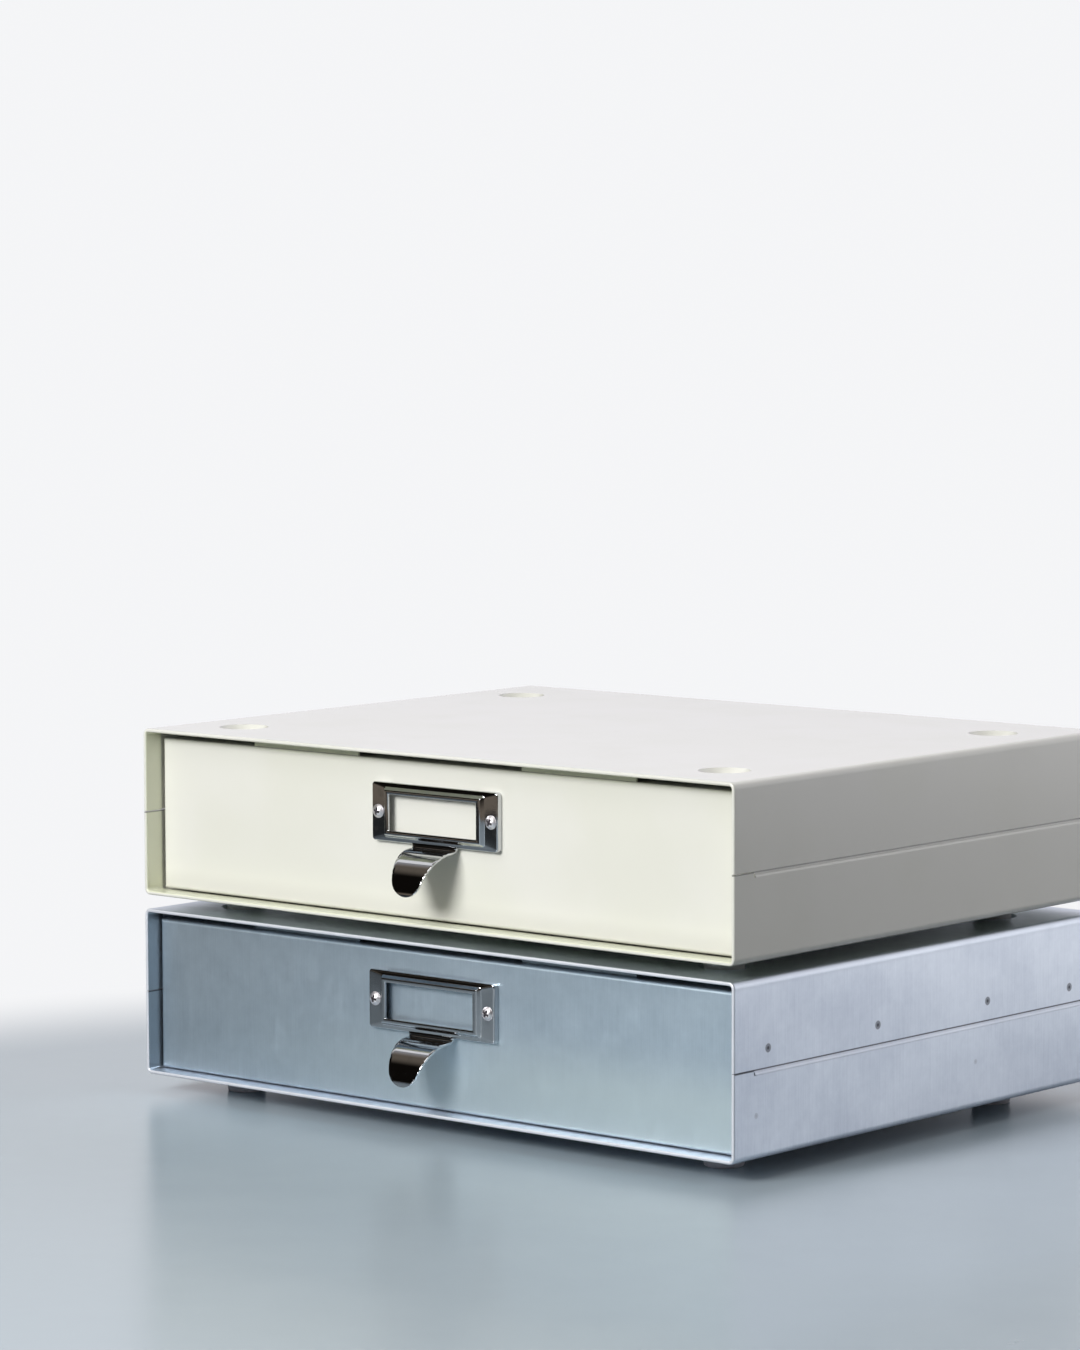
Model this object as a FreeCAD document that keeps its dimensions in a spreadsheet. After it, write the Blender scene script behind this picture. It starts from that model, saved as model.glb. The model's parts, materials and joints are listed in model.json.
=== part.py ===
"""Two stacking sheet-steel desk drawers for A4 paper, one standing on the other.

Each drawer has a case folded from an upper and a lower sheet, a back, four rubber feet that
stand in dimples of the case below, two glide strips, and a sliding drawer with a folded front,
a tray, a back with catch ears, and a label holder whose lower edge is the finger pull.

Every case is drawn in its own place: X across with 0 at the middle, Y from the front edge
towards the back, Z up from the case's underside. The Placement of each sub-part carries it
into the stack, whose origin is at the middle of its footprint, on the surface it stands on.
"""
import FreeCAD, Part
import math
import os

import Sketcher

SIZES = [
    # case
    ("case_width", 320.0), ("case_depth", 249.0), ("case_height", 71.0),
    ("steel", 0.8), ("case_bend", 2.8), ("hem_depth", 9.2), ("hem_nose", 0.74),
    # seam between the two sheets of a case
    ("seam_height", 35.5), ("seam_gap", 0.25), ("joggle_bend", 1.8), ("joggle_angle", 41.4),
    ("flange_height", 14.5), ("flange_start", 13.3), ("flange_relief", 1.0),
    # case back and stop tabs
    ("back_inset", 0.8), ("back_flange", 10.0), ("weld_fit", 0.05),
    ("tab_width", 59.2), ("tab_spacing", 88.6), ("tab_run", 0.5), ("tab_bend", 1.5),
    ("tab_clearance", 0.25),
    # feet, dimples and rivets
    ("foot_height", 8.0), ("foot_diameter", 16.4), ("foot_side_inset", 29.5),
    ("foot_front_inset", 31.0), ("foot_rear_inset", 38.0), ("foot_edge", 0.8),
    ("foot_recess", 9.0), ("foot_recess_depth", 3.6), ("foot_bore_play", 0.1),
    ("dimple_depth", 2.0), ("dimple_play", 0.4), ("dimple_slope", 1.9),
    ("rivet_shank", 3.2), ("rivet_head", 6.6), ("rivet_head_height", 1.4),
    ("rivet_tail", 5.0), ("rivet_tail_height", 1.2),
    # glide strips
    ("glide_width", 10.0), ("glide_inset", 7.0), ("glide_start", 24.0), ("glide_end", 16.0),
    ("glide_play", 0.1), ("glide_edge", 0.5),
    # drawer
    ("front_recess", 9.3), ("lower_ajar", 2.5), ("front_side_gap", 1.0),
    ("front_bottom_gap", 0.4), ("front_top_gap", 3.2), ("front_bend", 1.6),
    ("front_flange", 12.0), ("drawer_back_gap", 0.5), ("tray_height", 59.2),
    ("tray_hem", 6.0), ("tray_nose", 0.72), ("tray_bend", 1.6), ("shelf_depth", 30.0), ("shelf_bend", 1.6),
    ("ear_margin", 1.0), ("ear_clearance", 1.2),
    # label holder and finger pull
    ("holder_width", 68.2), ("holder_height", 24.2), ("holder_middle", 45.0),
    ("holder_steel", 0.9), ("holder_face", 2.7), ("holder_corner", 1.5), ("holder_edge", 0.6),
    ("rim_width", 54.2), ("rim_height", 20.6), ("rim_rise", 1.2), ("rim_corner", 1.2), ("rim_edge", 1.1),
    ("window_width", 47.6), ("window_height", 14.9), ("window_corner", 0.4),
    ("card_slot_width", 50.0),
    ("pull_reach", 20.6), ("pull_root_bend", 1.0), ("pull_drop", 18.9), ("pull_tip", 8.0),
    ("pull_taper", 18.3), ("pull_neck", 0.5),
    # label screws and nuts
    ("screw_spacing", 61.2), ("screw_shank", 2.9), ("screw_play", 0.15), ("screw_head", 5.7),
    ("screw_head_height", 1.6), ("screw_tail", 0.6), ("cross_length", 3.2),
    ("cross_width", 0.75), ("cross_depth", 0.9), ("nut_flats", 5.5), ("nut_height", 2.4),
    ("nut_bore", 3.0),
]

doc = FreeCAD.newDocument("StackingDrawers")
sheet = doc.addObject("Spreadsheet::Sheet", "Sizes")
for row, (alias, value) in enumerate(SIZES, 1):
    sheet.set(f"A{row}", alias)
    sheet.set(f"B{row}", str(value))
    sheet.setAlias(f"B{row}", alias)
doc.recompute()


class Size:
    """A number that carries the spreadsheet formula it comes from."""

    def __init__(self, value, formula):
        self.value = value
        self.formula = formula

    def joined(self, other, sign, value, swapped=False):
        first, second = (other, self) if swapped else (self, other)
        return Size(value, f"({first.formula} {sign} {second.formula})")

    def __add__(self, other):
        other = as_size(other)
        return self.joined(other, "+", self.value + other.value)

    def __sub__(self, other):
        other = as_size(other)
        return self.joined(other, "-", self.value - other.value)

    def __mul__(self, other):
        other = as_size(other)
        return self.joined(other, "*", self.value * other.value)

    def __truediv__(self, other):
        other = as_size(other)
        return self.joined(other, "/", self.value / other.value)

    def __rsub__(self, other):
        other = as_size(other)
        return self.joined(other, "-", other.value - self.value, swapped=True)

    def __neg__(self):
        return Size(-self.value, f"(-1 * {self.formula})")

    __radd__ = __add__
    __rmul__ = __mul__


def as_size(number):
    return number if isinstance(number, Size) else Size(float(number), repr(float(number)))


def size(alias):
    return Size(float(dict(SIZES)[alias]), f"Sizes.{alias}")


def cosine(angle):
    return Size(math.cos(math.radians(angle.value)), f"cos({angle.formula} * 1deg)")


def sine(angle):
    return Size(math.sin(math.radians(angle.value)), f"sin({angle.formula} * 1deg)")


ZERO = as_size(0)
NODES = []

# --- places that several pieces share ------------------------------------------------------
steel = size("steel")
half_width = size("case_width") / 2
inner_half = half_width - steel
hem_half = half_width - 2 * steel
case_top = size("case_height")
inner_top = case_top - steel
hem_top = case_top - 2 * steel
bend = size("case_bend")
inner_bend = bend - steel
hem_bend = bend - 2 * steel
pitch = case_top + size("foot_height") - size("dimple_depth")

foot_x = half_width - size("foot_side_inset")
foot_front = size("foot_front_inset")
foot_rear = size("case_depth") - size("foot_rear_inset")
FOOT_PLACES = [
    ("front_left", -foot_x, foot_front), ("front_right", foot_x, foot_front),
    ("rear_left", -foot_x, foot_rear), ("rear_right", foot_x, foot_rear),
]

front_half = hem_half - size("front_side_gap")
front_low = 2 * steel + size("front_bottom_gap")
front_high = hem_top - size("front_top_gap")
front_inside = size("front_recess") + steel
tray_half = front_half - steel - size("weld_fit")
tray_low = front_low + steel + size("weld_fit")
back_inside = size("case_depth") - size("back_inset") - steel
drawer_end = back_inside - size("drawer_back_gap")

tab_inner = size("tab_spacing") / 2
tab_outer = tab_inner + size("tab_width")
tab_low = front_high + size("tab_clearance")
tab_face = size("hem_depth") + size("tab_run")
tab_back = tab_face + steel

holder_half = size("holder_width") / 2
holder_low = size("holder_middle") - size("holder_height") / 2
holder_high = size("holder_middle") + size("holder_height") / 2
screw_x = size("screw_spacing") / 2
screw_hole = size("screw_shank") + 2 * size("screw_play")

lowest_reach = size("front_recess") - size("lower_ajar") - size("pull_reach")
origin_y = (size("case_depth") + lowest_reach) / 2


# --- sketches -------------------------------------------------------------------------------
class Stop:
    """A point of an outline. A radius rounds its corner; with a turn it is an arc that ends here."""

    def __init__(self, x, y, radius=None, turn=None):
        self.x = as_size(x)
        self.y = as_size(y)
        self.radius = radius
        self.turn = turn

    def vector(self):
        return FreeCAD.Vector(self.x.value, self.y.value, 0)


def sign(number):
    return (number > 1e-9) - (number < -1e-9)


def rounded(stops):
    """Replace each rounded right-angled corner by the two ends of its arc."""
    points = []
    for index, stop in enumerate(stops):
        if stop.radius is None or stop.turn is not None:
            points.append(stop)
            continue
        before = stops[index - 1].vector() - stop.vector()
        after = stops[(index + 1) % len(stops)].vector() - stop.vector()
        turn = "right" if before.x * after.y - before.y * after.x > 0 else "left"
        arc_start = Stop(stop.x + stop.radius * sign(before.x), stop.y + stop.radius * sign(before.y))
        arc_end = Stop(stop.x + stop.radius * sign(after.x), stop.y + stop.radius * sign(after.y),
                       stop.radius, turn)
        points += [arc_start, arc_end]
    return points


def arc_middle(start, end, radius, turn):
    """The point half way along the shorter arc from start to end, turning left or right."""
    chord = end - start
    middle = (start + end) * 0.5
    side = FreeCAD.Vector(chord.y, -chord.x, 0).normalize() * (1 if turn == "left" else -1)
    rise = radius - math.sqrt(max(radius ** 2 - (chord.Length / 2) ** 2, 0))
    return middle + side * rise


def bind(sketch, constraints, formulas):
    """Add constraints and tie each one that has a formula to it."""
    indices = sketch.addConstraint(constraints)
    for index, formula in zip(indices, formulas):
        if formula:
            sketch.setExpression(f"Constraints[{index}]", formula)


def draw_outline(sketch, stops):
    """Draw a closed outline, with every corner tied to the sheet."""
    points = rounded(stops)
    edges = []
    for start, end in zip([points[-1]] + points[:-1], points):
        if end.radius is None:
            curve = Part.LineSegment(start.vector(), end.vector())
        else:
            middle = arc_middle(start.vector(), end.vector(), end.radius.value, end.turn)
            curve = Part.Arc(start.vector(), middle, end.vector())
        edges.append(sketch.addGeometry(curve))
    ends = []
    for edge, point in zip(edges, points):
        at_start = (sketch.getPoint(edge, 1) - point.vector()).Length < 1e-6
        ends.append(1 if at_start else 2)
    constraints, formulas = [], []
    for index, (edge, end, point) in enumerate(zip(edges, ends, points)):
        following = (index + 1) % len(edges)
        constraints += [
            Sketcher.Constraint("Coincident", edge, end, edges[following], 3 - ends[following]),
            Sketcher.Constraint("DistanceX", -1, 1, edge, end, point.x.value),
            Sketcher.Constraint("DistanceY", -1, 1, edge, end, point.y.value),
        ]
        formulas += [None, point.x.formula, point.y.formula]
        if point.radius is not None:
            constraints.append(Sketcher.Constraint("Radius", edge, point.radius.value))
            formulas.append(point.radius.formula)
    bind(sketch, constraints, formulas)


def draw_circle(sketch, x, y, diameter):
    centre = FreeCAD.Vector(x.value, y.value, 0)
    edge = sketch.addGeometry(Part.Circle(centre, FreeCAD.Vector(0, 0, 1), diameter.value / 2))
    constraints = [
        Sketcher.Constraint("DistanceX", -1, 1, edge, 3, x.value),
        Sketcher.Constraint("DistanceY", -1, 1, edge, 3, y.value),
        Sketcher.Constraint("Diameter", edge, diameter.value),
    ]
    bind(sketch, constraints, [x.formula, y.formula, diameter.formula])


def rectangle(left, low, right, high, radius=None):
    return [Stop(left, low, radius), Stop(right, low, radius), Stop(right, high, radius),
            Stop(left, high, radius)]


def new_sketch(body, name, plane_role, at=ZERO):
    """A sketch on one of the body's own planes, moved along the axis across that plane."""
    sketch = body.newObject("Sketcher::SketchObject", f"{body.Name}_{name}")
    plane = next(f for f in body.Origin.OriginFeatures if f.Role == plane_role)
    sketch.AttachmentSupport = (plane, "")
    sketch.MapMode = "FlatFace"
    offset = -at if plane_role == "XZ_Plane" else at
    sketch.setExpression("AttachmentOffset.Base.z", offset.formula)
    return sketch


# --- features -------------------------------------------------------------------------------
def new_body(label):
    body = doc.addObject("PartDesign::Body", label)
    body.Label = label
    return body


def plane_of(sketch):
    return sketch.AttachmentSupport[0][0].Role


def pad(body, name, sketch, length, forwards=True):
    """Extrude a sketch along the positive axis across its plane, or backwards along it."""
    feature = body.newObject("PartDesign::Pad", f"{body.Name}_{name}")
    feature.Profile = sketch
    feature.setExpression("Length", length.formula)
    feature.Reversed = forwards if plane_of(sketch) == "XZ_Plane" else not forwards
    doc.recompute()
    return feature


def pocket(body, name, sketch, length, forwards=True):
    """Cut a sketch along the positive axis across its plane, or backwards along it."""
    before = body.Shape.Volume
    feature = body.newObject("PartDesign::Pocket", f"{body.Name}_{name}")
    feature.Profile = sketch
    feature.setExpression("Length", length.formula)
    feature.Reversed = not forwards if plane_of(sketch) == "XZ_Plane" else forwards
    doc.recompute()
    if body.Shape.Volume > before - 1e-3:
        raise RuntimeError(f"{feature.Name} cut nothing")
    return feature


def fillet(body, name, radius, chosen):
    """Round the edges of the body that the test chooses."""
    base = body.Tip
    names = [f"Edge{number}" for number, edge in enumerate(base.Shape.Edges, 1) if chosen(edge)]
    feature = body.newObject("PartDesign::Fillet", f"{body.Name}_{name}")
    feature.Base = (base, names)
    feature.setExpression("Radius", radius.formula)
    doc.recompute()
    return feature


def revolve(body, name, sketch):
    """Turn a sketch on the XZ plane once round the body's Z axis."""
    feature = body.newObject("PartDesign::Revolution", f"{body.Name}_{name}")
    feature.Profile = sketch
    feature.ReferenceAxis = (sketch, ["V_Axis"])
    doc.recompute()
    return feature


def mirror_x(body, name, feature):
    """Repeat a feature on the other side of the middle plane."""
    mirrored = body.newObject("PartDesign::Mirrored", f"{body.Name}_{name}")
    mirrored.Originals = [feature]
    plane = next(f for f in body.Origin.OriginFeatures if f.Role == "YZ_Plane")
    mirrored.MirrorPlane = (plane, [""])
    body.Tip = mirrored
    doc.recompute()
    return mirrored


def place(item, x, y, z):
    for axis, value in zip("xyz", (x, y, z)):
        item.setExpression(f"Placement.Base.{axis}", as_size(value).formula)


def lies_at(edge, axis, value):
    """True if the whole edge lies at one coordinate."""
    box = edge.BoundBox
    low, high = {"x": (box.XMin, box.XMax), "y": (box.YMin, box.YMax),
                 "z": (box.ZMin, box.ZMax)}[axis]
    return abs(low - value) < 0.005 and abs(high - value) < 0.005


def add(item, x, y, z):
    """Carry a finished sub-part into the stack."""
    place(item, x, y, z)
    NODES.append(item)


def copies(label, pattern, places):
    """One sub-part made of separate equal solids, each at its own place."""
    group = doc.addObject("Part::Compound", label)
    group.Label = label
    links = []
    for number, (x, y, z) in enumerate(places, 1):
        link = doc.addObject("App::Link", f"{label}_{number}")
        link.LinkedObject = pattern
        link.LinkTransform = True
        place(link, x, y, z)
        links.append(link)
    group.Links = links
    return group


# --- case -----------------------------------------------------------------------------------
def tab_profile():
    """Side view of a stop tab: the hem's inner leaf runs on and turns down."""
    turn = size("tab_bend")
    return [
        Stop(size("hem_depth") - steel, hem_top),
        Stop(tab_face, hem_top, turn - steel),
        Stop(tab_face, tab_low),
        Stop(tab_back, tab_low),
        Stop(tab_back, inner_top, turn),
        Stop(size("hem_depth") - steel, inner_top),
    ]


def make_top_shell(label):
    """Top and upper half of the side walls, hemmed at the front, with dimples and stop tabs."""
    body = new_body(label)
    edge_low = size("seam_height") + size("seam_gap") / 2
    section = new_sketch(body, "section", "XZ_Plane")
    draw_outline(section, [
        Stop(-half_width, edge_low), Stop(-inner_half, edge_low),
        Stop(-inner_half, inner_top, inner_bend), Stop(inner_half, inner_top, inner_bend),
        Stop(inner_half, edge_low), Stop(half_width, edge_low),
        Stop(half_width, case_top, bend), Stop(-half_width, case_top, bend),
    ])
    pad(body, "sheet", section, size("case_depth"))
    hem = new_sketch(body, "hem_section", "XZ_Plane")
    draw_outline(hem, [
        Stop(-inner_half, edge_low), Stop(-hem_half, edge_low),
        Stop(-hem_half, hem_top, hem_bend), Stop(hem_half, hem_top, hem_bend),
        Stop(hem_half, edge_low), Stop(inner_half, edge_low),
        Stop(inner_half, inner_top, inner_bend), Stop(-inner_half, inner_top, inner_bend),
    ])
    pad(body, "hem", hem, size("hem_depth"))
    tab = new_sketch(body, "tab_section", "YZ_Plane", tab_inner)
    draw_outline(tab, tab_profile())
    mirror_x(body, "tabs", pad(body, "tab", tab, size("tab_width")))
    add_dimples(body)
    fillet(body, "nose", size("hem_nose"),
           lambda edge: lies_at(edge, "y", 0) and not lies_at(edge, "z", edge_low.value))
    return body


def add_dimples(body):
    """Press four round seats for the feet of the case above into the top."""
    floor_radius = size("foot_diameter") / 2 + size("dimple_play")
    rim_radius = floor_radius + size("dimple_slope")
    for kind, surface in (("Additive", inner_top), ("Subtractive", case_top)):
        for name, x, y in FOOT_PLACES:
            cone = body.newObject(f"PartDesign::{kind}Cone", f"{body.Name}_{kind}_{name}")
            cone.setExpression("Radius1", floor_radius.formula)
            cone.setExpression("Radius2", rim_radius.formula)
            cone.setExpression("Height", size("dimple_depth").formula)
            place(cone, x, y, surface - size("dimple_depth"))
            doc.recompute()


def joggle():
    """The lower wall's double bend inwards: its angle, two radii, and lowest and highest points."""
    angle = size("joggle_angle")
    outer = size("joggle_bend")
    inner = steel / (1 - cosine(angle)) - outer
    high = size("seam_height") - size("seam_gap") / 2
    return angle, outer, inner, high - (outer + inner) * sine(angle), high


def flange_profile():
    """Front view of the right wall's joggled flange, from the straight wall to its top edge."""
    angle, outer, inner, low, high = joggle()
    top = size("seam_height") + size("flange_height")
    middle = low + outer * sine(angle)
    middle_inside = low + (outer - steel) * sine(angle)
    outside = half_width - outer * (1 - cosine(angle))
    inside = inner_half - (outer - steel) * (1 - cosine(angle))
    return [
        Stop(inner_half, low - steel), Stop(half_width, low - steel), Stop(half_width, low),
        Stop(outside, middle, outer, "left"),
        Stop(inner_half, high, inner, "right"),
        Stop(inner_half, top), Stop(hem_half, top), Stop(hem_half, high),
        Stop(inside, middle_inside, inner + steel, "left"),
        Stop(inner_half, low, outer - steel, "right"),
    ]


def make_bottom_shell(label):
    """Bottom and lower half of the side walls, whose flanges stand inside the upper shell."""
    body = new_body(label)
    _, _, _, bend_low, edge_high = joggle()
    section = new_sketch(body, "section", "XZ_Plane")
    draw_outline(section, [
        Stop(-half_width, 0, bend), Stop(half_width, 0, bend), Stop(half_width, bend_low),
        Stop(inner_half, bend_low), Stop(inner_half, steel, inner_bend),
        Stop(-inner_half, steel, inner_bend), Stop(-inner_half, bend_low),
        Stop(-half_width, bend_low),
    ])
    pad(body, "sheet", section, size("case_depth"))
    butt_depth = size("flange_start") - size("flange_relief")
    for name, start in (("front", ZERO), ("rear", size("case_depth") - butt_depth)):
        wall = new_sketch(body, f"{name}_wall", "XZ_Plane", start)
        draw_outline(wall, rectangle(inner_half, bend_low - steel, half_width, edge_high))
        mirror_x(body, f"{name}_walls", pad(body, f"{name}_butt", wall, butt_depth))
    flange = new_sketch(body, "flange_section", "XZ_Plane", size("flange_start"))
    draw_outline(flange, flange_profile())
    length = size("case_depth") - 2 * size("flange_start")
    mirror_x(body, "flanges", pad(body, "flange", flange, length))
    hem = new_sketch(body, "hem_section", "XZ_Plane")
    draw_outline(hem, [
        Stop(-inner_half, steel, inner_bend), Stop(inner_half, steel, inner_bend),
        Stop(inner_half, edge_high), Stop(hem_half, edge_high),
        Stop(hem_half, 2 * steel, hem_bend), Stop(-hem_half, 2 * steel, hem_bend),
        Stop(-hem_half, edge_high), Stop(-inner_half, edge_high),
    ])
    pad(body, "hem", hem, size("hem_depth"))
    holes = new_sketch(body, "rivet_holes", "XY_Plane")
    for _, x, y in FOOT_PLACES:
        draw_circle(holes, x, y, size("rivet_shank") + 2 * size("foot_bore_play"))
    pocket(body, "rivet_bores", holes, steel)
    fillet(body, "nose", size("hem_nose"),
           lambda edge: lies_at(edge, "y", 0) and not lies_at(edge, "z", edge_high.value))
    return body


def make_case_back(label):
    """Pan that closes the rear of a case, with its rim welded inside the two shells."""
    body = new_body(label)
    half = inner_half - size("weld_fit")
    low = steel + size("weld_fit")
    high = inner_top - size("weld_fit")
    corner = inner_bend - size("weld_fit")
    plate = new_sketch(body, "plate_outline", "XZ_Plane", back_inside)
    draw_outline(plate, rectangle(-half, low, half, high, corner))
    pad(body, "plate", plate, steel)
    rim = new_sketch(body, "rim_outline", "XZ_Plane", back_inside)
    draw_outline(rim, rectangle(-half, low, half, high, corner))
    draw_outline(rim, rectangle(-half + steel, low + steel, half - steel, high - steel,
                                corner - steel))
    pad(body, "rim", rim, size("back_flange"), forwards=False)
    return body


def make_foot(label):
    """Round rubber foot with a recess for its rivet, drawn with its top at the case's underside."""
    body = new_body(label)
    radius = size("foot_diameter") / 2
    bore = size("rivet_shank") / 2 + size("foot_bore_play")
    recess = size("foot_recess") / 2
    ceiling = size("foot_recess_depth") - size("foot_height")
    profile = new_sketch(body, "profile", "XZ_Plane")
    draw_outline(profile, [
        Stop(bore, 0), Stop(bore, ceiling), Stop(recess, ceiling),
        Stop(recess, -size("foot_height")), Stop(radius, -size("foot_height"), size("foot_edge")),
        Stop(radius, 0),
    ])
    revolve(body, "turned", profile)
    return body


def make_rivet(label):
    """Rivet through a foot and the case's bottom, its axis at the foot's."""
    body = new_body(label)
    shank = size("rivet_shank") / 2
    head = size("rivet_head") / 2
    tail = size("rivet_tail") / 2
    seat = size("foot_recess_depth") - size("foot_height")
    profile = new_sketch(body, "profile", "XZ_Plane")
    draw_outline(profile, [
        Stop(0, seat - size("rivet_head_height")),
        Stop(head, seat - size("rivet_head_height"), size("rivet_head_height") / 2),
        Stop(head, seat), Stop(shank, seat), Stop(shank, steel), Stop(tail, steel),
        Stop(tail, steel + size("rivet_tail_height"), size("rivet_tail_height") / 2),
        Stop(0, steel + size("rivet_tail_height")),
    ])
    revolve(body, "turned", profile)
    return body


def make_glide_strip(label):
    """Low plastic strip on the case's bottom that the tray slides on."""
    strip = doc.addObject("Part::Box", f"{label}_bar")
    length = size("case_depth") - size("glide_end") - size("glide_start")
    strip.setExpression("Length", size("glide_width").formula)
    strip.setExpression("Width", length.formula)
    strip.setExpression("Height", (tray_low - size("glide_play") - steel).formula)
    doc.recompute()
    top = strip.Shape.BoundBox.ZMax
    eased = doc.addObject("Part::Chamfer", label)
    eased.Label = label
    eased.Base = strip
    edge = size("glide_edge").value
    eased.Edges = [(number, edge, edge) for number, line in enumerate(strip.Shape.Edges, 1)
                   if lies_at(line, "z", top)]
    return eased


# --- drawer ---------------------------------------------------------------------------------
def make_drawer_front(label):
    """Folded front with flanges turned back all round, drawn with its outer face at Y = 0."""
    body = new_body(label)
    outline = new_sketch(body, "outline", "XZ_Plane")
    draw_outline(outline, rectangle(-front_half, front_low, front_half, front_high))
    pad(body, "block", outline, size("front_flange"))
    fillet(body, "bends", size("front_bend"), lambda edge: lies_at(edge, "y", 0))
    inside = new_sketch(body, "inside", "XZ_Plane", size("front_flange"))
    draw_outline(inside, rectangle(-front_half + steel, front_low + steel, front_half - steel,
                                   front_high - steel))
    pocket(body, "hollow", inside, size("front_flange") - steel, forwards=False)
    fillet(body, "inner_bends", size("front_bend") - steel,
           lambda edge: lies_at(edge, "y", steel.value))
    holes = new_sketch(body, "screw_holes", "XZ_Plane")
    for x in (-screw_x, screw_x):
        draw_circle(holes, x, size("holder_middle"), screw_hole)
    pocket(body, "screw_bores", holes, steel)
    return body


def make_drawer_tray(label):
    """Bottom and two sides of the drawer, with hemmed top edges, behind the front's inner face."""
    body = new_body(label)
    high = tray_low + size("tray_height")
    hem_low = high - size("tray_hem")
    inner = tray_half - steel
    hem_inner = tray_half - 2 * steel
    nose = size("tray_nose")
    start = front_inside + size("front_bend") - steel
    section = new_sketch(body, "section", "XZ_Plane", start)
    draw_outline(section, [
        Stop(-tray_half, tray_low, size("tray_bend")), Stop(tray_half, tray_low, size("tray_bend")),
        Stop(tray_half, high, nose), Stop(hem_inner, high, nose), Stop(hem_inner, hem_low),
        Stop(inner, hem_low), Stop(inner, tray_low + steel, size("tray_bend") - steel),
        Stop(-inner, tray_low + steel, size("tray_bend") - steel), Stop(-inner, hem_low),
        Stop(-hem_inner, hem_low), Stop(-hem_inner, high, nose), Stop(-tray_half, high, nose),
    ])
    pad(body, "sheet", section, drawer_end - start)
    return body


def make_drawer_back(label):
    """Rear wall of the drawer with a shelf folded forwards and two ears for the stop tabs."""
    body = new_body(label)
    wide = tray_half - steel - size("weld_fit")
    narrow = wide - steel - size("weld_fit")
    low = tray_low + steel + size("weld_fit")
    step = tray_low + size("tray_height") - size("tray_hem") - size("weld_fit")
    corner = size("tray_bend") - steel
    wall = new_sketch(body, "wall_outline", "XZ_Plane", drawer_end - steel)
    draw_outline(wall, [Stop(-wide, low, corner), Stop(wide, low, corner), Stop(wide, step),
                        Stop(-wide, step)])
    pad(body, "wall", wall, steel)
    shelf_end = drawer_end - size("shelf_depth")
    fold = new_sketch(body, "fold_profile", "YZ_Plane", -narrow)
    draw_outline(fold, [
        Stop(drawer_end - steel, step - steel), Stop(drawer_end, step - steel),
        Stop(drawer_end, front_high, size("shelf_bend")), Stop(shelf_end, front_high),
        Stop(shelf_end, front_high - steel),
        Stop(drawer_end - steel, front_high - steel, size("shelf_bend") - steel),
    ])
    pad(body, "fold", fold, 2 * narrow)
    ear_inner = tab_inner + size("ear_margin")
    ear = new_sketch(body, "ear_outline", "XZ_Plane", shelf_end)
    draw_outline(ear, rectangle(ear_inner, front_high - steel, tab_outer - size("ear_margin"),
                                inner_top - size("ear_clearance")))
    mirror_x(body, "ears", pad(body, "ear", ear, steel))
    return body


def make_label_holder(label):
    """Pressed label frame with a window; the sheet runs on below it as the curved finger pull."""
    body = new_body(label)
    face = size("holder_face")
    thick = size("holder_steel")
    corner = size("holder_corner")
    middle = size("holder_middle")
    outline = new_sketch(body, "plate_outline", "XZ_Plane")
    draw_outline(outline, rectangle(-holder_half, holder_low, holder_half, holder_high, corner))
    pad(body, "plate", outline, face, forwards=False)
    fillet(body, "plate_edge", size("holder_edge"), lambda edge: lies_at(edge, "y", -face.value))
    rim_half, rim_rise = size("rim_width") / 2, size("rim_rise")
    rim_low, rim_high = middle - size("rim_height") / 2, middle + size("rim_height") / 2
    rim = new_sketch(body, "rim_outline", "XZ_Plane", -face + thick)
    draw_outline(rim, rectangle(-rim_half, rim_low, rim_half, rim_high, size("rim_corner")))
    pad(body, "rim", rim, rim_rise + thick, forwards=False)
    front = -face - rim_rise
    fillet(body, "rim_edge", size("rim_edge"), lambda edge: lies_at(edge, "y", front.value))
    hollow = new_sketch(body, "plate_hollow", "XZ_Plane")
    draw_outline(hollow, rectangle(-holder_half + thick, holder_low + thick, holder_half - thick,
                                   holder_high - thick, corner - thick))
    pocket(body, "hollow", hollow, face - thick, forwards=False)
    rim_hollow = new_sketch(body, "rim_hollow", "XZ_Plane")
    draw_outline(rim_hollow, rectangle(-rim_half + thick, rim_low + thick, rim_half - thick,
                                       rim_high - thick))
    pocket(body, "under_rim", rim_hollow, face - thick + rim_rise, forwards=False)
    slot_half = size("card_slot_width") / 2
    slot = new_sketch(body, "card_slot", "XZ_Plane")
    draw_outline(slot, rectangle(-slot_half, rim_high - thick, slot_half, holder_high + thick))
    pocket(body, "slot", slot, face - thick, forwards=False)
    window_half = size("window_width") / 2
    window_low, window_high = middle - size("window_height") / 2, middle + size("window_height") / 2
    window = new_sketch(body, "window_outline", "XZ_Plane")
    draw_outline(window, rectangle(-window_half, window_low, window_half, window_high,
                                   size("window_corner")))
    pocket(body, "window", window, face + rim_rise, forwards=False)
    holes = new_sketch(body, "screw_holes", "XZ_Plane")
    for x in (-screw_x, screw_x):
        draw_circle(holes, x, middle, screw_hole)
    pocket(body, "screw_bores", holes, face, forwards=False)
    add_finger_pull(body)
    return body


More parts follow.
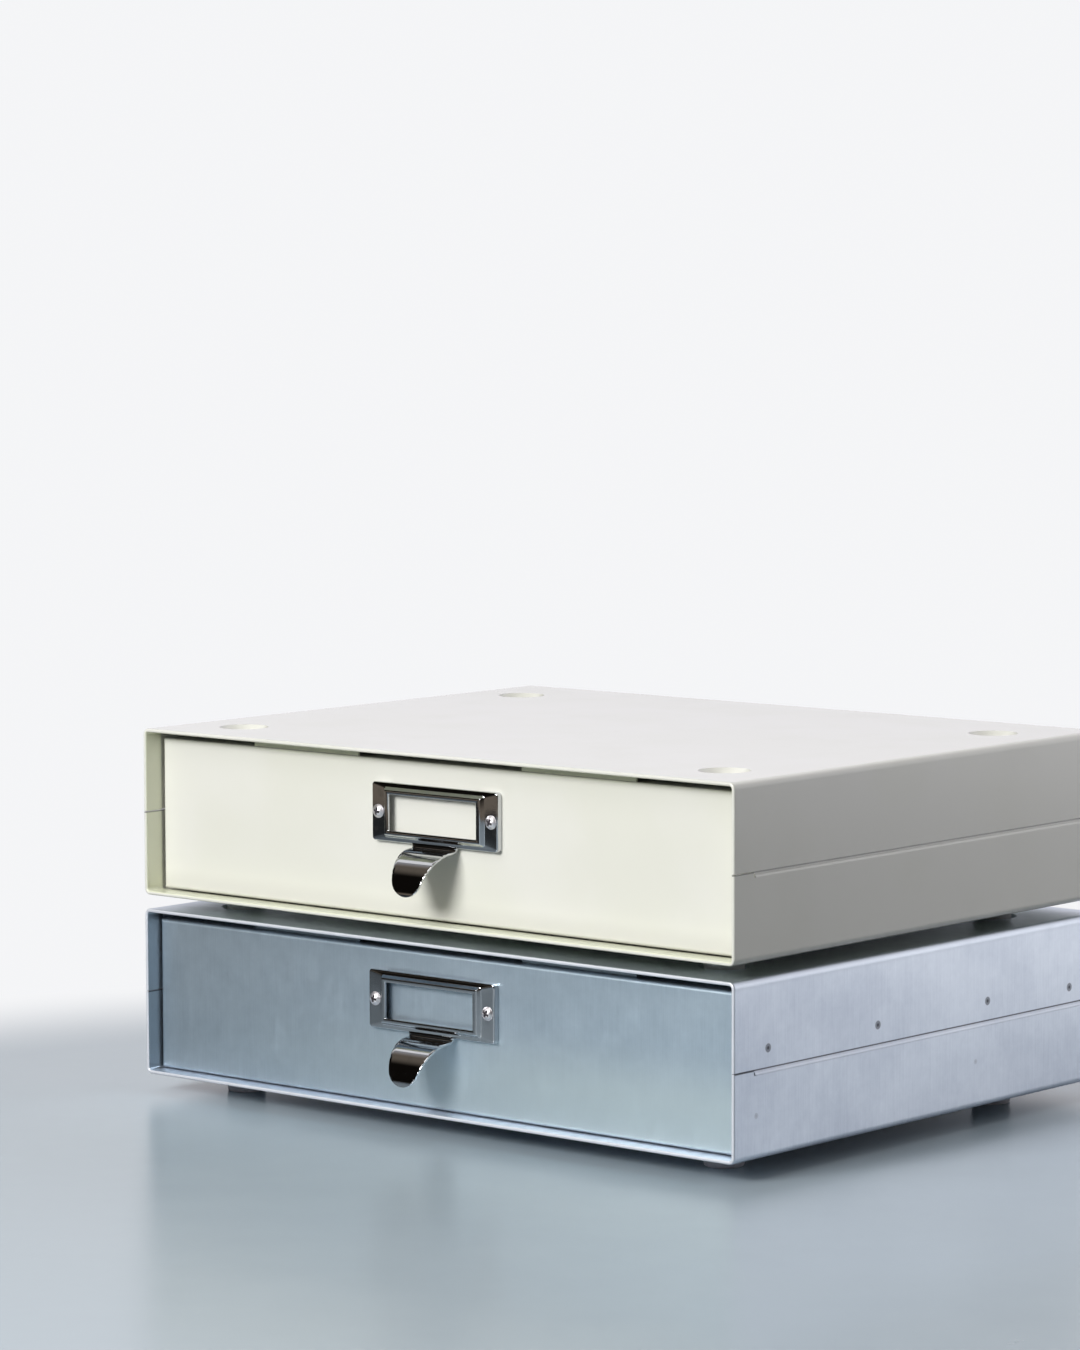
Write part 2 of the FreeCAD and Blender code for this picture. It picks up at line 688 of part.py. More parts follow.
def add_finger_pull(body):
    """Run the label frame's lower edge out and down in a quarter circle with a round tip."""
    face, thick = size("holder_face"), size("holder_steel")
    root = size("pull_root_bend")
    neck_low = holder_low - size("pull_neck")
    sweep = size("pull_reach") - face - root
    centre_y = -face - root
    crest = neck_low - root
    centre_z = crest - sweep
    tip_z = holder_low - size("pull_drop")
    profile = new_sketch(body, "pull_profile", "YZ_Plane", -holder_half / 2)
    draw_outline(profile, [
        Stop(-face + thick, holder_low + thick), Stop(-face, holder_low + thick),
        Stop(-face, neck_low),
        Stop(centre_y, crest, root, "right"),
        Stop(centre_y - sweep, centre_z, sweep, "left"),
        Stop(centre_y - sweep, tip_z - thick), Stop(centre_y - sweep + thick, tip_z - thick),
        Stop(centre_y - sweep + thick, centre_z),
        Stop(centre_y, crest - thick, sweep - thick, "right"),
        Stop(-face + thick, neck_low, root + thick, "left"),
    ])
    pad(body, "pull", profile, holder_half)
    tip = size("pull_tip")
    taper = size("pull_taper")
    tangent_x = tip * cosine(taper)
    tangent_z = tip_z + tip - tip * sine(taper)
    root_x = tangent_x + (holder_low - tangent_z) * sine(taper) / cosine(taper)
    outline = new_sketch(body, "pull_outline", "XZ_Plane", -face + thick)
    draw_outline(outline, [
        Stop(-holder_half, tip_z - 2 * thick), Stop(holder_half, tip_z - 2 * thick),
        Stop(holder_half, holder_low), Stop(root_x, holder_low), Stop(tangent_x, tangent_z),
        Stop(-tangent_x, tangent_z, tip, "right"), Stop(-root_x, holder_low),
        Stop(-holder_half, holder_low),
    ])
    pocket(body, "pull_trim", outline, size("pull_reach"), forwards=False)


def make_label_screw(label):
    """Domed cross-recess screw; its head seats at Y = 0 and its shank points along +Y."""
    body = new_body(label)
    head = size("screw_head") / 2
    rise = size("screw_head_height")
    shank = size("screw_shank") / 2
    length = size("holder_face") + steel + size("nut_height") + size("screw_tail")
    dome = (head * head + rise * rise) / (2 * rise)
    profile = new_sketch(body, "profile", "XZ_Plane")
    draw_outline(profile, [
        Stop(0, -length), Stop(shank, -length), Stop(shank, 0), Stop(head, 0),
        Stop(0, rise, dome, "left"),
    ])
    revolve(body, "turned", profile)
    cross = new_sketch(body, "cross_outline", "XY_Plane", rise)
    arm, web = size("cross_length") / 2, size("cross_width") / 2
    draw_outline(cross, [
        Stop(-arm, -web), Stop(-web, -web), Stop(-web, -arm), Stop(web, -arm), Stop(web, -web),
        Stop(arm, -web), Stop(arm, web), Stop(web, web), Stop(web, arm), Stop(-web, arm),
        Stop(-web, web), Stop(-arm, web),
    ])
    pocket(body, "cross", cross, size("cross_depth"), forwards=False)
    body.Placement.Rotation = FreeCAD.Rotation(FreeCAD.Vector(1, 0, 0), 90)
    return body


def make_label_nut(label):
    """Hexagon nut whose seat is at Y = 0 and whose bore runs along Y."""
    prism = doc.addObject("Part::Prism", f"{label}_hexagon")
    prism.Polygon = 6
    prism.setExpression("Circumradius", (size("nut_flats") / 2 / math.cos(math.pi / 6)).formula)
    prism.setExpression("Height", size("nut_height").formula)
    bore = doc.addObject("Part::Cylinder", f"{label}_bore")
    bore.setExpression("Radius", (size("nut_bore") / 2).formula)
    bore.setExpression("Height", size("nut_height").formula)
    nut = doc.addObject("Part::Cut", label)
    nut.Base = prism
    nut.Tool = bore
    nut.Placement.Rotation = FreeCAD.Rotation(FreeCAD.Vector(1, 0, 0), -90)
    return nut


# --- stack ----------------------------------------------------------------------------------
def build_case(tier, floor):
    """The standing pieces of one case, whose underside is at the height floor."""
    shift = -origin_y
    add(make_top_shell(f"{tier}_case_top_shell"), 0, shift, floor)
    add(make_bottom_shell(f"{tier}_case_bottom_shell"), 0, shift, floor)
    add(make_case_back(f"{tier}_case_back"), 0, shift, floor)
    for name, x, y in FOOT_PLACES:
        add(make_foot(f"{tier}_foot_{name}"), x, y + shift, floor)
    rivets = copies(f"{tier}_foot_rivets", make_rivet(f"{tier}_rivet"),
                    [(x, y, ZERO) for _, x, y in FOOT_PLACES])
    add(rivets, 0, shift, floor)
    strip_x = half_width - size("glide_inset") - size("glide_width")
    for side, x in (("left", -strip_x - size("glide_width")), ("right", strip_x)):
        strip = make_glide_strip(f"{tier}_glide_strip_{side}")
        add(strip, x, size("glide_start") + shift, floor + steel)


def build_drawer(tier, floor, ajar):
    """The sliding pieces of one drawer, drawn out by the length ajar."""
    shift = -origin_y - ajar
    face = size("front_recess") + shift
    middle = size("holder_middle")
    add(make_drawer_front(f"{tier}_drawer_front"), 0, face, floor)
    add(make_drawer_tray(f"{tier}_drawer_tray"), 0, shift, floor)
    add(make_drawer_back(f"{tier}_drawer_back"), 0, shift, floor)
    add(make_label_holder(f"{tier}_label_holder"), 0, face, floor)
    sides = (-screw_x, screw_x)
    screws = copies(f"{tier}_label_screws", make_label_screw(f"{tier}_screw"),
                    [(x, -size("holder_face"), middle) for x in sides])
    nuts = copies(f"{tier}_label_nuts", make_label_nut(f"{tier}_nut"),
                  [(x, steel, middle) for x in sides])
    add(screws, 0, face, floor)
    add(nuts, 0, face, floor)


lower_floor = size("foot_height")
upper_floor = lower_floor + pitch
build_case("lower", lower_floor)
build_drawer("lower", lower_floor, size("lower_ajar"))
build_case("upper", upper_floor)
build_drawer("upper", upper_floor, ZERO)

doc.recompute()
faults = [item.Name for item in doc.Objects if {"Invalid", "Error"} & set(item.State)]
if faults:
    raise RuntimeError(f"objects that failed: {faults}")
for item in NODES:
    if item.Shape.isNull() or not item.Shape.isValid():
        raise RuntimeError(f"{item.Label} has no valid shape")
os.makedirs("parts", exist_ok=True)
for item in NODES:
    item.Shape.exportStep(f"parts/{item.Label}.step")
    box = item.Shape.BoundBox
    print(f"{item.Label:28} solids {len(item.Shape.Solids)}  volume {item.Shape.Volume:9.1f}  "
          f"x {box.XMin:7.1f} {box.XMax:7.1f}  y {box.YMin:7.1f} {box.YMax:7.1f}  "
          f"z {box.ZMin:7.1f} {box.ZMax:7.1f}")
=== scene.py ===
"""A stack of two sheet-steel desk drawers: its finishes, pressed fittings and a plain studio."""
import json
import math

import bmesh
import bpy
from mathutils import Matrix, Vector

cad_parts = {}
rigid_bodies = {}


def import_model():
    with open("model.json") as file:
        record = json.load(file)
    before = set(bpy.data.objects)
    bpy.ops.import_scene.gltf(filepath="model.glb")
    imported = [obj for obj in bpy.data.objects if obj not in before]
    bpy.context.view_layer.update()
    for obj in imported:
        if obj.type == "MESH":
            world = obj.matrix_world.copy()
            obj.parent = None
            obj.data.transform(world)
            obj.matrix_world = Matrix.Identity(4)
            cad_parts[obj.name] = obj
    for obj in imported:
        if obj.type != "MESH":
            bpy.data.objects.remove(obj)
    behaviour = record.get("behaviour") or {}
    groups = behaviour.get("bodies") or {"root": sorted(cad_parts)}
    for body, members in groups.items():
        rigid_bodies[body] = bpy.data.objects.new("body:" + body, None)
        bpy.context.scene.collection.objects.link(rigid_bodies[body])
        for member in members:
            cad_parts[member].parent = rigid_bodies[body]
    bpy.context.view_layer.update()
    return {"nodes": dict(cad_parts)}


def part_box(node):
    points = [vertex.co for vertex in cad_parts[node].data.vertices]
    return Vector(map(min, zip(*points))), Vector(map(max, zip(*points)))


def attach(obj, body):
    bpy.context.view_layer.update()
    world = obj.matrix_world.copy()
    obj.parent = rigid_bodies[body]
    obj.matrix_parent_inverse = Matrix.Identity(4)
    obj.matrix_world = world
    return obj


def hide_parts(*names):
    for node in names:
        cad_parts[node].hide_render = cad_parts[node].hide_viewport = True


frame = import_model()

bl_info = {
    "name": "Sheet-steel desk drawers",
    "version": (1, 0, 0),
    "blender": (4, 5, 0),
    "location": "3D View > Sidebar > Drawers",
    "description": "Finishes, feet, fixings and label holders for two stacking steel drawers",
    "category": "Object",
}

MM = 0.001
SIDES = 72  # round a screw or a nut
TIERS = ("lower", "upper")
SHEETS = {
    "case": ("case_top_shell", "case_bottom_shell", "case_back"),
    "drawer": ("drawer_front", "drawer_tray", "drawer_back"),
}

# Places on the folded sheets, in millimetres of the stack's own frame.
SEAM = {"lower": 43.5, "upper": 120.5}
MOUTH = {"lower": (10.2, 77.8), "upper": (86.1, 154.8)}
MOUTH_END = (-105.5, -104.5)
FLANGE_START = (-105.5, -104.3)
SIDE_WALL = (157.6, 158.6)
INNER_WALL = (158.5, 158.8)
WELD_WALL = (158.5, 159.5)
TOP_BEND, TOP_BEND_ACROSS = (74.5, 78), (157.8, 158.8)
FRONT_EDGE_BAND = (-117.4, -117.1)
UNDERSIDE = (85.05, 85.25)
FRONT_FACE = {"lower": (-110.7, -110.3), "upper": (-107.9, -107.5)}
WELDS = (  # along the wall, height, diameter, strength
    (-96.4, 51.1, 3.6, 1), (-25.7, 51.0, 3.6, 1), (49.1, 51.4, 3.6, 1),
    (107.7, 50.0, 3.6, 1), (-103.8, 25.5, 2.4, 0.35), (40.9, 27.4, 2.2, 0.3),
)

# Tints of single places, over the coats that the settings give.
ENAMEL_SEAM_SHADE = (0.10, 0.10, 0.08, 1)
ENAMEL_UNDERSIDE_SHADE = (0.55, 0.62, 0.42, 1)
ENAMEL_LOW_FRONT = (0.715, 0.71, 0.65, 1)
ZINC_MOUTH_SHADE = (0.26, 0.32, 0.36, 1)
ZINC_WELD = (0.12, 0.12, 0.14, 1)
ZINC_JOGGLE_SHADE = (0.22, 0.24, 0.28, 1)
ZINC_SEAM_SHADE = (0.05, 0.05, 0.06, 1)
ZINC_TOP_BEND_SHADE = (0.58, 0.63, 0.70, 1)
ZINC_EDGE_HIGHLIGHT = (0.82, 0.85, 0.91, 1)
ZINC_LOW_FRONT = (0.86, 0.98, 1.0, 1)
ZINC_INSIDE_SHADE = (0.62, 0.65, 0.68, 1)
CROSS_RECESS_SHADE = (0.12, 0.11, 0.12, 1)
FLOOR_CLOUD = (0.70, 0.74, 0.78, 1)
BACKDROP = (0.91, 0.915, 0.93, 1)

LAMPS = (  # name, width, height, place and aim, in metres
    ("key", 0.8, 0.6, (-0.12, -1.75, 0.92), (0, 0, 0.08)),
    ("sky", 1.6, 1.0, (-0.1, -1.4, 1.9), (0, 0, 0.1)),
    ("side", 0.34, 1.3, (-1.05, -0.03, 1.25), (0, 0, 0.1)),
    ("wall", 0.35, 0.35, (0.50, 0.47, 0.24), (0.16, 0.08, 0.08)),
)


# --- node trees -------------------------------------------
class Link:
    """An output socket. Arithmetic on it adds Math nodes."""

    def __init__(self, tree, socket):
        self.tree = tree
        self.socket = socket

    def math(self, operation, *values):
        return self.tree.node("ShaderNodeMath", {"operation": operation}, dict(enumerate(values)))

    def __add__(self, other):
        return self.math("ADD", self, other)

    def __sub__(self, other):
        return self.math("SUBTRACT", self, other)

    def __rsub__(self, other):
        return self.math("SUBTRACT", other, self)

    def __mul__(self, other):
        return self.math("MULTIPLY", self, other)

    def __abs__(self):
        return self.math("ABSOLUTE", self)

    def __pow__(self, other):
        return self.math("POWER", self, other)

    __radd__ = __add__
    __rmul__ = __mul__


class Tree:
    """A node tree under construction."""

    def __init__(self, tree):
        self.tree = tree

    def node(self, kind, settings=None, inputs=None, output=0):
        """Add a node: its settings first, then a value or a link for each named input."""
        added = self.tree.nodes.new(kind)
        for name, value in (settings or {}).items():
            setattr(added, name, value)
        for name, value in (inputs or {}).items():
            if isinstance(value, Link):
                self.tree.links.new(value.socket, added.inputs[name])
            else:
                added.inputs[name].default_value = value
        return Link(self, added.outputs[output])

    def end(self, kind, link, socket="Surface"):
        """Close the tree with an output node."""
        self.tree.links.new(link.socket, self.tree.nodes.new(kind).inputs[socket])

    def axes(self, vector, wanted=(0, 1, 2)):
        """The wanted parts of a vector, one link for each."""
        return [self.node("ShaderNodeSeparateXYZ", inputs={0: vector}, output=axis)
                for axis in wanted]

    def ray(self, kind):
        """1 where the ray that meets the surface is of this kind, such as Camera."""
        return self.node("ShaderNodeLightPath", output=f"Is {kind} Ray")

    def band(self, value, low, high):
        """Rise smoothly from 0 at low to 1 at high."""
        return self.node("ShaderNodeMapRange", {"interpolation_type": "SMOOTHSTEP"},
                         {"Value": value, "From Min": low, "From Max": high})

    def mix(self, share, first, second):
        """Blend two colours."""
        return self.node("ShaderNodeMix", {"data_type": "RGBA"},
                         {0: share, 6: first, 7: second}, output=2)


class Finish(Tree):
    """A procedural material in millimetres of the object's own space."""

    def __init__(self, name):
        self.material = bpy.data.materials.new(name)
        self.material.use_nodes = True
        super().__init__(self.material.node_tree)
        self.tree.nodes.clear()
        here = self.node("ShaderNodeTexCoord", output="Object")
        self.place = self.node("ShaderNodeVectorMath", {"operation": "SCALE"},
                               {0: here, "Scale": 1 / MM})
        self.x, self.y, self.z = self.axes(self.place)

    def grain(self, size, detail=2.0, stretch=(1, 1, 1), roughness=0.5):
        """Noise from 0 to 1 whose grains are about size millimetres, longer where stretched."""
        spread = self.node("ShaderNodeVectorMath", {"operation": "DIVIDE"},
                           {0: self.place, 1: stretch})
        return self.node("ShaderNodeTexNoise", None, {
            "Vector": spread, "Scale": 1 / size, "Detail": detail, "Roughness": roughness})

    def relief(self, height, depth):
        """A bumped normal: height from 0 to 1 stands depth millimetres tall."""
        return self.node("ShaderNodeBump", None,
                         {"Strength": 1.0, "Distance": depth * MM, "Height": height})

    def shade(self, **inputs):
        """Close the material with a Principled shader."""
        named = {name.replace("_", " "): value for name, value in inputs.items()}
        return self.close(self.node("ShaderNodeBsdfPrincipled", None, named))

    def close(self, surface):
        """Close the material with a shader of any kind."""
        self.end("ShaderNodeOutputMaterial", surface)
        return self.material


class Pattern(Tree):
    """A Geometry Nodes tree that works on one piece's mesh."""

    def __init__(self, name, **sockets):
        super().__init__(bpy.data.node_groups.new(name, "GeometryNodeTree"))
        face = self.tree.interface
        face.new_socket("Geometry", in_out="INPUT", socket_type="NodeSocketGeometry")
        self.ids = {}
        for label, kind in sockets.items():
            label = label.replace("_", " ")
            self.ids[label] = face.new_socket(
                label, in_out="INPUT", socket_type="NodeSocket" + kind).identifier
        face.new_socket("Geometry", in_out="OUTPUT", socket_type="NodeSocketGeometry")
        self.inputs = self.tree.nodes.new("NodeGroupInput")

    def given(self, label):
        return Link(self, self.inputs.outputs[label])

    def close(self, geometry):
        """Realize the instances, give them the finish and hand them out."""
        solid = self.node("GeometryNodeRealizeInstances", None, {"Geometry": geometry})
        painted = self.node("GeometryNodeSetMaterial", None,
                            {"Geometry": solid, "Material": self.given("Finish")})
        self.end("NodeGroupOutput", painted, "Geometry")

    def apply(self, piece, **values):
        """Run the tree on a piece and keep its result as the piece's plain mesh."""
        modifier = piece.modifiers.new(self.tree.name, "NODES")
        modifier.node_group = self.tree
        for label, value in values.items():
            modifier[self.ids[label.replace("_", " ")]] = value
        settle(piece)


def set_out_pattern():
    """Copies of a piece at the corners of a rectangle or the ends of a line, turned a little."""
    rows = Pattern("set_out", Columns="Int", Rows="Int", Width="Float", Depth="Float",
                   Middle="Vector", Axis="Vector", Turn="Float", Finish="Material")
    grid = rows.node("GeometryNodeMeshGrid", None, {
        "Size X": rows.given("Width"), "Size Y": rows.given("Depth"),
        "Vertices X": rows.given("Columns"), "Vertices Y": rows.given("Rows")})
    places = rows.node("GeometryNodeSetPosition", None,
                       {"Geometry": grid, "Offset": rows.given("Middle")})
    angle = rows.node("FunctionNodeRandomValue", {"data_type": "FLOAT"},
                      {2: 0.0, 3: rows.given("Turn"), "Seed": 5}, output=1)
    turn = rows.node("FunctionNodeAxisAngleToRotation", None,
                     {"Axis": rows.given("Axis"), "Angle": angle})
    rows.close(rows.node("GeometryNodeInstanceOnPoints", None, {
        "Points": places, "Instance": rows.given("Geometry"), "Rotation": turn}))
    return rows


# --- meshes -----------------------------------------------
def settle(piece):
    """Turn the evaluated piece into its plain mesh and take its modifiers away."""
    bpy.context.view_layer.update()
    evaluated = piece.evaluated_get(bpy.context.evaluated_depsgraph_get())
    mesh = bpy.data.meshes.new_from_object(evaluated)
    mesh.name = piece.name
    piece.modifiers.clear()
    piece.data = mesh


def piece_from(name, mesh_maker, crease=35):
    """Make a piece of a bmesh: joined, facing outwards, smooth but for its sharp edges."""
    bmesh.ops.remove_doubles(mesh_maker, verts=mesh_maker.verts, dist=0.002 * MM)
    bmesh.ops.recalc_face_normals(mesh_maker, faces=mesh_maker.faces)
    for face in mesh_maker.faces:
        face.smooth = True
    for edge in mesh_maker.edges:
        edge.smooth = edge.calc_face_angle(math.pi) < math.radians(crease)
    mesh = bpy.data.meshes.new(name)
    mesh_maker.to_mesh(mesh)
    mesh_maker.free()
    piece = bpy.data.objects.new(name, mesh)
    bpy.context.scene.collection.objects.link(piece)
    return piece


def loft(rings, across=False):
    """Join rings of points by faces. Across closes the last ring to the first."""
    made = bmesh.new()
    rows = [[made.verts.new(point) for point in ring] for ring in rings]
    pairs = list(zip(rows, rows[1:])) + ([(rows[-1], rows[0])] if across else [])
    for lower, upper in pairs:
        for index in range(len(lower)):
            after = (index + 1) % len(lower)
            made.faces.new((lower[index], lower[after], upper[after], upper[index]))
    if not across:
        made.faces.new(rows[0])
        made.faces.new(rows[-1])
    return made


def turned(profile, sides):
    """Revolve a profile of (radius, height) points about Z. A radius of 0 closes an end."""
    made = bmesh.new()
    line = [made.verts.new((radius, 0, height)) for radius, height in profile]
    for lower, upper in zip(line, line[1:]):
        made.edges.new((lower, upper))
    bmesh.ops.spin(made, geom=made.verts[:] + made.edges[:], cent=(0, 0, 0), axis=(0, 0, 1),
                   angle=2 * math.pi, steps=sides, use_merge=True)
    bmesh.ops.dissolve_degenerate(made, dist=0.001 * MM, edges=made.edges)
    return made


def corner_arc(centre, radius, start, end, steps):
    """Points of an arc in a plane, by angles in degrees."""
    return [(centre[0] + radius * math.cos(math.radians(start + (end - start) * n / steps)),
             centre[1] + radius * math.sin(math.radians(start + (end - start) * n / steps)))
            for n in range(steps + 1)]


def finish_piece(piece, body, slot, *replaced):
    """Attach a piece to its body and hide the CAD pieces it stands for. The slot is not used."""
    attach(piece, body)
    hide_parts(*replaced)


# --- finishes ---------------------------------------------
def opaque(shade):
    """A colour of three parts with its alpha."""
    return (*shade, 1)


def enamel(name, colours, cased):
    """Powder coat over folded steel: orange peel, a faint cloudiness and handling marks."""
    paint = Finish(name)
    cloud = paint.band(paint.grain(60, 3), 0.35, 0.65)
    peel = paint.grain(1.5, 2)
    pore = paint.grain(0.35, 1)
    smudge = paint.band(paint.grain(22, 4, (1, 1, 1.6)), 0.45, 0.7)
    base = paint.mix(cloud * 0.6 + pore * 0.25, opaque(colours.enamel),
                     opaque(colours.enamel_shade))
    if cased:
        # Painted shade: greener inside the case's mouth.
        base = paint.mix(mouth(paint, *MOUTH["upper"]), base, opaque(colours.enamel_mouth_shade))
        # Painted shade along the seam's crevice.
        base = paint.mix(seam_shade_line(paint, SEAM["upper"]) * 0.85, base, ENAMEL_SEAM_SHADE)
        # Painted shade: the upper case's underside is greener and darker, as in shade.
        base = paint.mix(1 - paint.band(paint.z, *UNDERSIDE), base, ENAMEL_UNDERSIDE_SHADE)
    else:
        # Shade painted along the front's lower edge. It stays when the lamps change.
        low = (1 - paint.band(paint.z, 89, 97)) * (
            1 - paint.band(paint.y, *FRONT_FACE["upper"]))
        base = paint.mix(low, base, ENAMEL_LOW_FRONT)
    return paint.shade(
        Base_Color=base, Roughness=0.34 + smudge * 0.08 + peel * 0.05,
        Specular_IOR_Level=0.5, Coat_Roughness=0.2, Coat_Weight=1.0,
        Normal=paint.relief(peel * 0.8 + pore * 0.2, 0.012))


def mouth(finish, low, high):
    """Share of a case's inner walls in front of its drawer, where shade is painted into the coat.
    """
    walls = 1 - finish.band(abs(finish.x), *INNER_WALL)
    upright = finish.band(finish.z, low, low + 0.3) * (1 - finish.band(finish.z, high - 0.3, high))
    return walls * upright * (1 - finish.band(finish.y, *MOUTH_END))


def seam_shade_line(finish, height):
    """Share of the side walls along the crevice where a case's two sheets meet, painted dark as
    shade.
    """
    wall = finish.band(abs(finish.x), *SIDE_WALL)
    return wall * (1 - finish.band(abs(finish.z - height + 0.2), 0.15, 0.6))


def joggle_shade(metal, height):
    """Share of the side walls on the bend just below the seam, painted darker as shade over its
    reflection.
    """
    wall = metal.band(abs(metal.x), *SIDE_WALL)
    folded = metal.band(metal.y, *FLANGE_START)
    return wall * folded * (1 - metal.band(abs(metal.z - height + 1.3), 0.8, 1.3))


def weld_marks(metal):
    """How dark the round marks of the spot welds are on the side walls, from 0 to 1."""
    wall = metal.band(abs(metal.x), *WELD_WALL)
    total = None
    for along, up, size, strength in WELDS:
        over, above = metal.y - along, metal.z - up
        away = (over * over + above * above) ** 0.5
        disc = 1 - metal.band(away, size * 0.42, size * 0.56)
        ring = metal.band(away, size * 0.12, size * 0.26) * disc
        mark = (disc - ring * 0.35) * strength
        total = mark if total is None else total + mark
    return total * wall


def zinc(name, bright, deep, lines, cased):
    """Bare zinc-coated sheet: rolling lines, soft spangle, cloudy stains and spot weld marks."""
    metal = Finish(name)
    line = metal.grain(0.55, 3, lines, 0.6)
    broad = metal.grain(2.6, 2, lines)
    spangle = metal.grain(4.5, 4, roughness=0.65)
    cloud = metal.band(metal.grain(48, 4, roughness=0.6), 0.3, 0.7)
    stain = metal.band(metal.grain(16, 5, (1, 1, 2.2), 0.65), 0.52, 0.72)
    tone = cloud * 0.4 + line * 0.55 + broad * 0.2 + spangle * 0.5 - 0.28
    base = metal.mix(tone, opaque(deep), opaque(bright))
    base = metal.mix(stain * 0.2, base, opaque(deep))
    rough = 0.36 + line * 0.08 + spangle * 0.05 + stain * 0.03
    height = line * 0.6 + spangle * 0.4
    metallic = 0.95
    if cased:
        spots = weld_marks(metal)
        # Painted shade: darker inside the case's mouth.
        base = metal.mix(mouth(metal, *MOUTH["lower"]) * 0.7, base, ZINC_MOUTH_SHADE)
        base = metal.mix(spots, base, ZINC_WELD)
        # Painted shade over the bend's bright reflection below the seam.
        base = metal.mix(joggle_shade(metal, SEAM["lower"]) * 0.45, base, ZINC_JOGGLE_SHADE)
        # Painted shade along the seam's crevice.
        base = metal.mix(seam_shade_line(metal, SEAM["lower"]) * 0.9, base, ZINC_SEAM_SHADE)
        # Painted shade on the top bend of the side walls, over its reflection.
        bend = metal.band(metal.z, *TOP_BEND) * metal.band(abs(metal.x), *TOP_BEND_ACROSS)
        base = metal.mix(bend * 0.8, base, ZINC_TOP_BEND_SHADE)
        # Painted highlight along the case's front edge: paler and less metallic.
        cut = 1 - metal.band(metal.y, *FRONT_EDGE_BAND)
        base = metal.mix(cut, base, ZINC_EDGE_HIGHLIGHT)
        metallic = metallic - cut * 0.6
        rough = rough + spots * 0.15
        height = height - spots * 1.6
    else:
        # Light painted on the front's lower right. It stays when the lamps change.
        face = 1 - metal.band(metal.y, *FRONT_FACE["lower"])
        low = face * (1 - metal.band(metal.z, 25, 52)) * metal.band(metal.x, -150, 100)
        base = metal.mix(low * 0.8, base, ZINC_LOW_FRONT)
        # Painted shade: the drawer behind its front face is greyer and darker, against the blue of
        # light bounced inside it.
        base = metal.mix((1 - face) * 0.6, base, ZINC_INSIDE_SHADE)
    return metal.shade(Base_Color=base, Metallic=metallic, Roughness=rough,
                       Normal=metal.relief(height, 0.010))


def chrome(colours):
    """Bright plating over pressed steel, with a faint ripple and fine polishing lines."""
    metal = Finish("label_chrome")
    ripple = metal.grain(7, 2)
    polish = metal.grain(0.4, 2, (14, 1, 1))
    film = metal.band(metal.grain(5, 4), 0.5, 0.75)
    base = metal.mix(film * 0.5, opaque(colours.chrome), opaque(colours.chrome_film))
    return metal.shade(Base_Color=base, Metallic=1.0, Roughness=0.04 + film * 0.05 + polish * 0.02,
                       Normal=metal.relief(ripple * 0.8 + polish * 0.2, 0.006))


def plated(name, bright, deep, roughness):
    """Plated steel of small turned parts, dulled and darker here and there."""
    metal = Finish(name)
    turned_lines = metal.grain(0.25, 2)
    dull = metal.band(metal.grain(1.8, 4), 0.42, 0.7)
    base = metal.mix(dull * 0.6, opaque(bright), opaque(deep))
    # Painted shade in the cross recess of the screws.
    recess = metal.node("ShaderNodeAttribute", {"attribute_name": "recess"}, output=2)
    base = metal.mix(recess, base, CROSS_RECESS_SHADE)
    return metal.shade(Base_Color=base, Metallic=1.0,
                       Roughness=roughness + dull * 0.14 + turned_lines * 0.05,
                       Normal=metal.relief(turned_lines, 0.006))


def rubber(colours):
    """Moulded rubber: pale, slightly translucent grey with a fine grain and a dusty bloom."""
    stuff = Finish("grey_rubber")
    skin = stuff.grain(0.5, 3)
    bloom = stuff.band(stuff.grain(6, 4), 0.45, 0.75)
    base = stuff.mix(bloom * 0.5, opaque(colours.rubber), opaque(colours.rubber_bloom))
    return stuff.shade(Base_Color=base, Roughness=0.24 + skin * 0.10 + bloom * 0.12,
                       Subsurface_Weight=0.35, Subsurface_Scale=0.003,
                       Subsurface_Radius=(1.0, 0.97, 0.94), Normal=stuff.relief(skin, 0.03))


def nylon(colours):
    """Extruded glide strip: milky plastic with drawn lines and polished tracks."""
    stuff = Finish("glide_plastic")
    drawn = stuff.grain(0.6, 3, (1, 60, 1))
    worn = stuff.band(stuff.grain(9, 3, (1, 8, 1)), 0.45, 0.65)
    base = stuff.mix(worn * 0.5 + drawn * 0.2, opaque(colours.nylon),
                     opaque(colours.nylon_worn))
    return stuff.shade(Base_Color=base, Roughness=0.5 - worn * 0.18 + drawn * 0.1,
                       Normal=stuff.relief(drawn, 0.02))


# --- settings ---------------------------------------------
def length(name, description, default):
    """A length property whose default is given in millimetres."""
    return bpy.props.FloatProperty(name=name, description=description, default=default * MM,
                                   min=0.0, unit="LENGTH", subtype="DISTANCE")


def in_degrees(name, description, degrees):
    """An angle property whose default is given in degrees."""
    return bpy.props.FloatProperty(name=name, description=description,
                                   default=math.radians(degrees), unit="ROTATION", subtype="ANGLE")


def brightness(name, description, default):
    """A property for how strong a light is."""
    return bpy.props.FloatProperty(name=name, description=description, default=default, min=0.0)


def colour(name, description, default):
    """A colour property."""
    return bpy.props.FloatVectorProperty(name=name, description=description, default=default,
                                         min=0.0, max=1.0, size=3, subtype="COLOR")


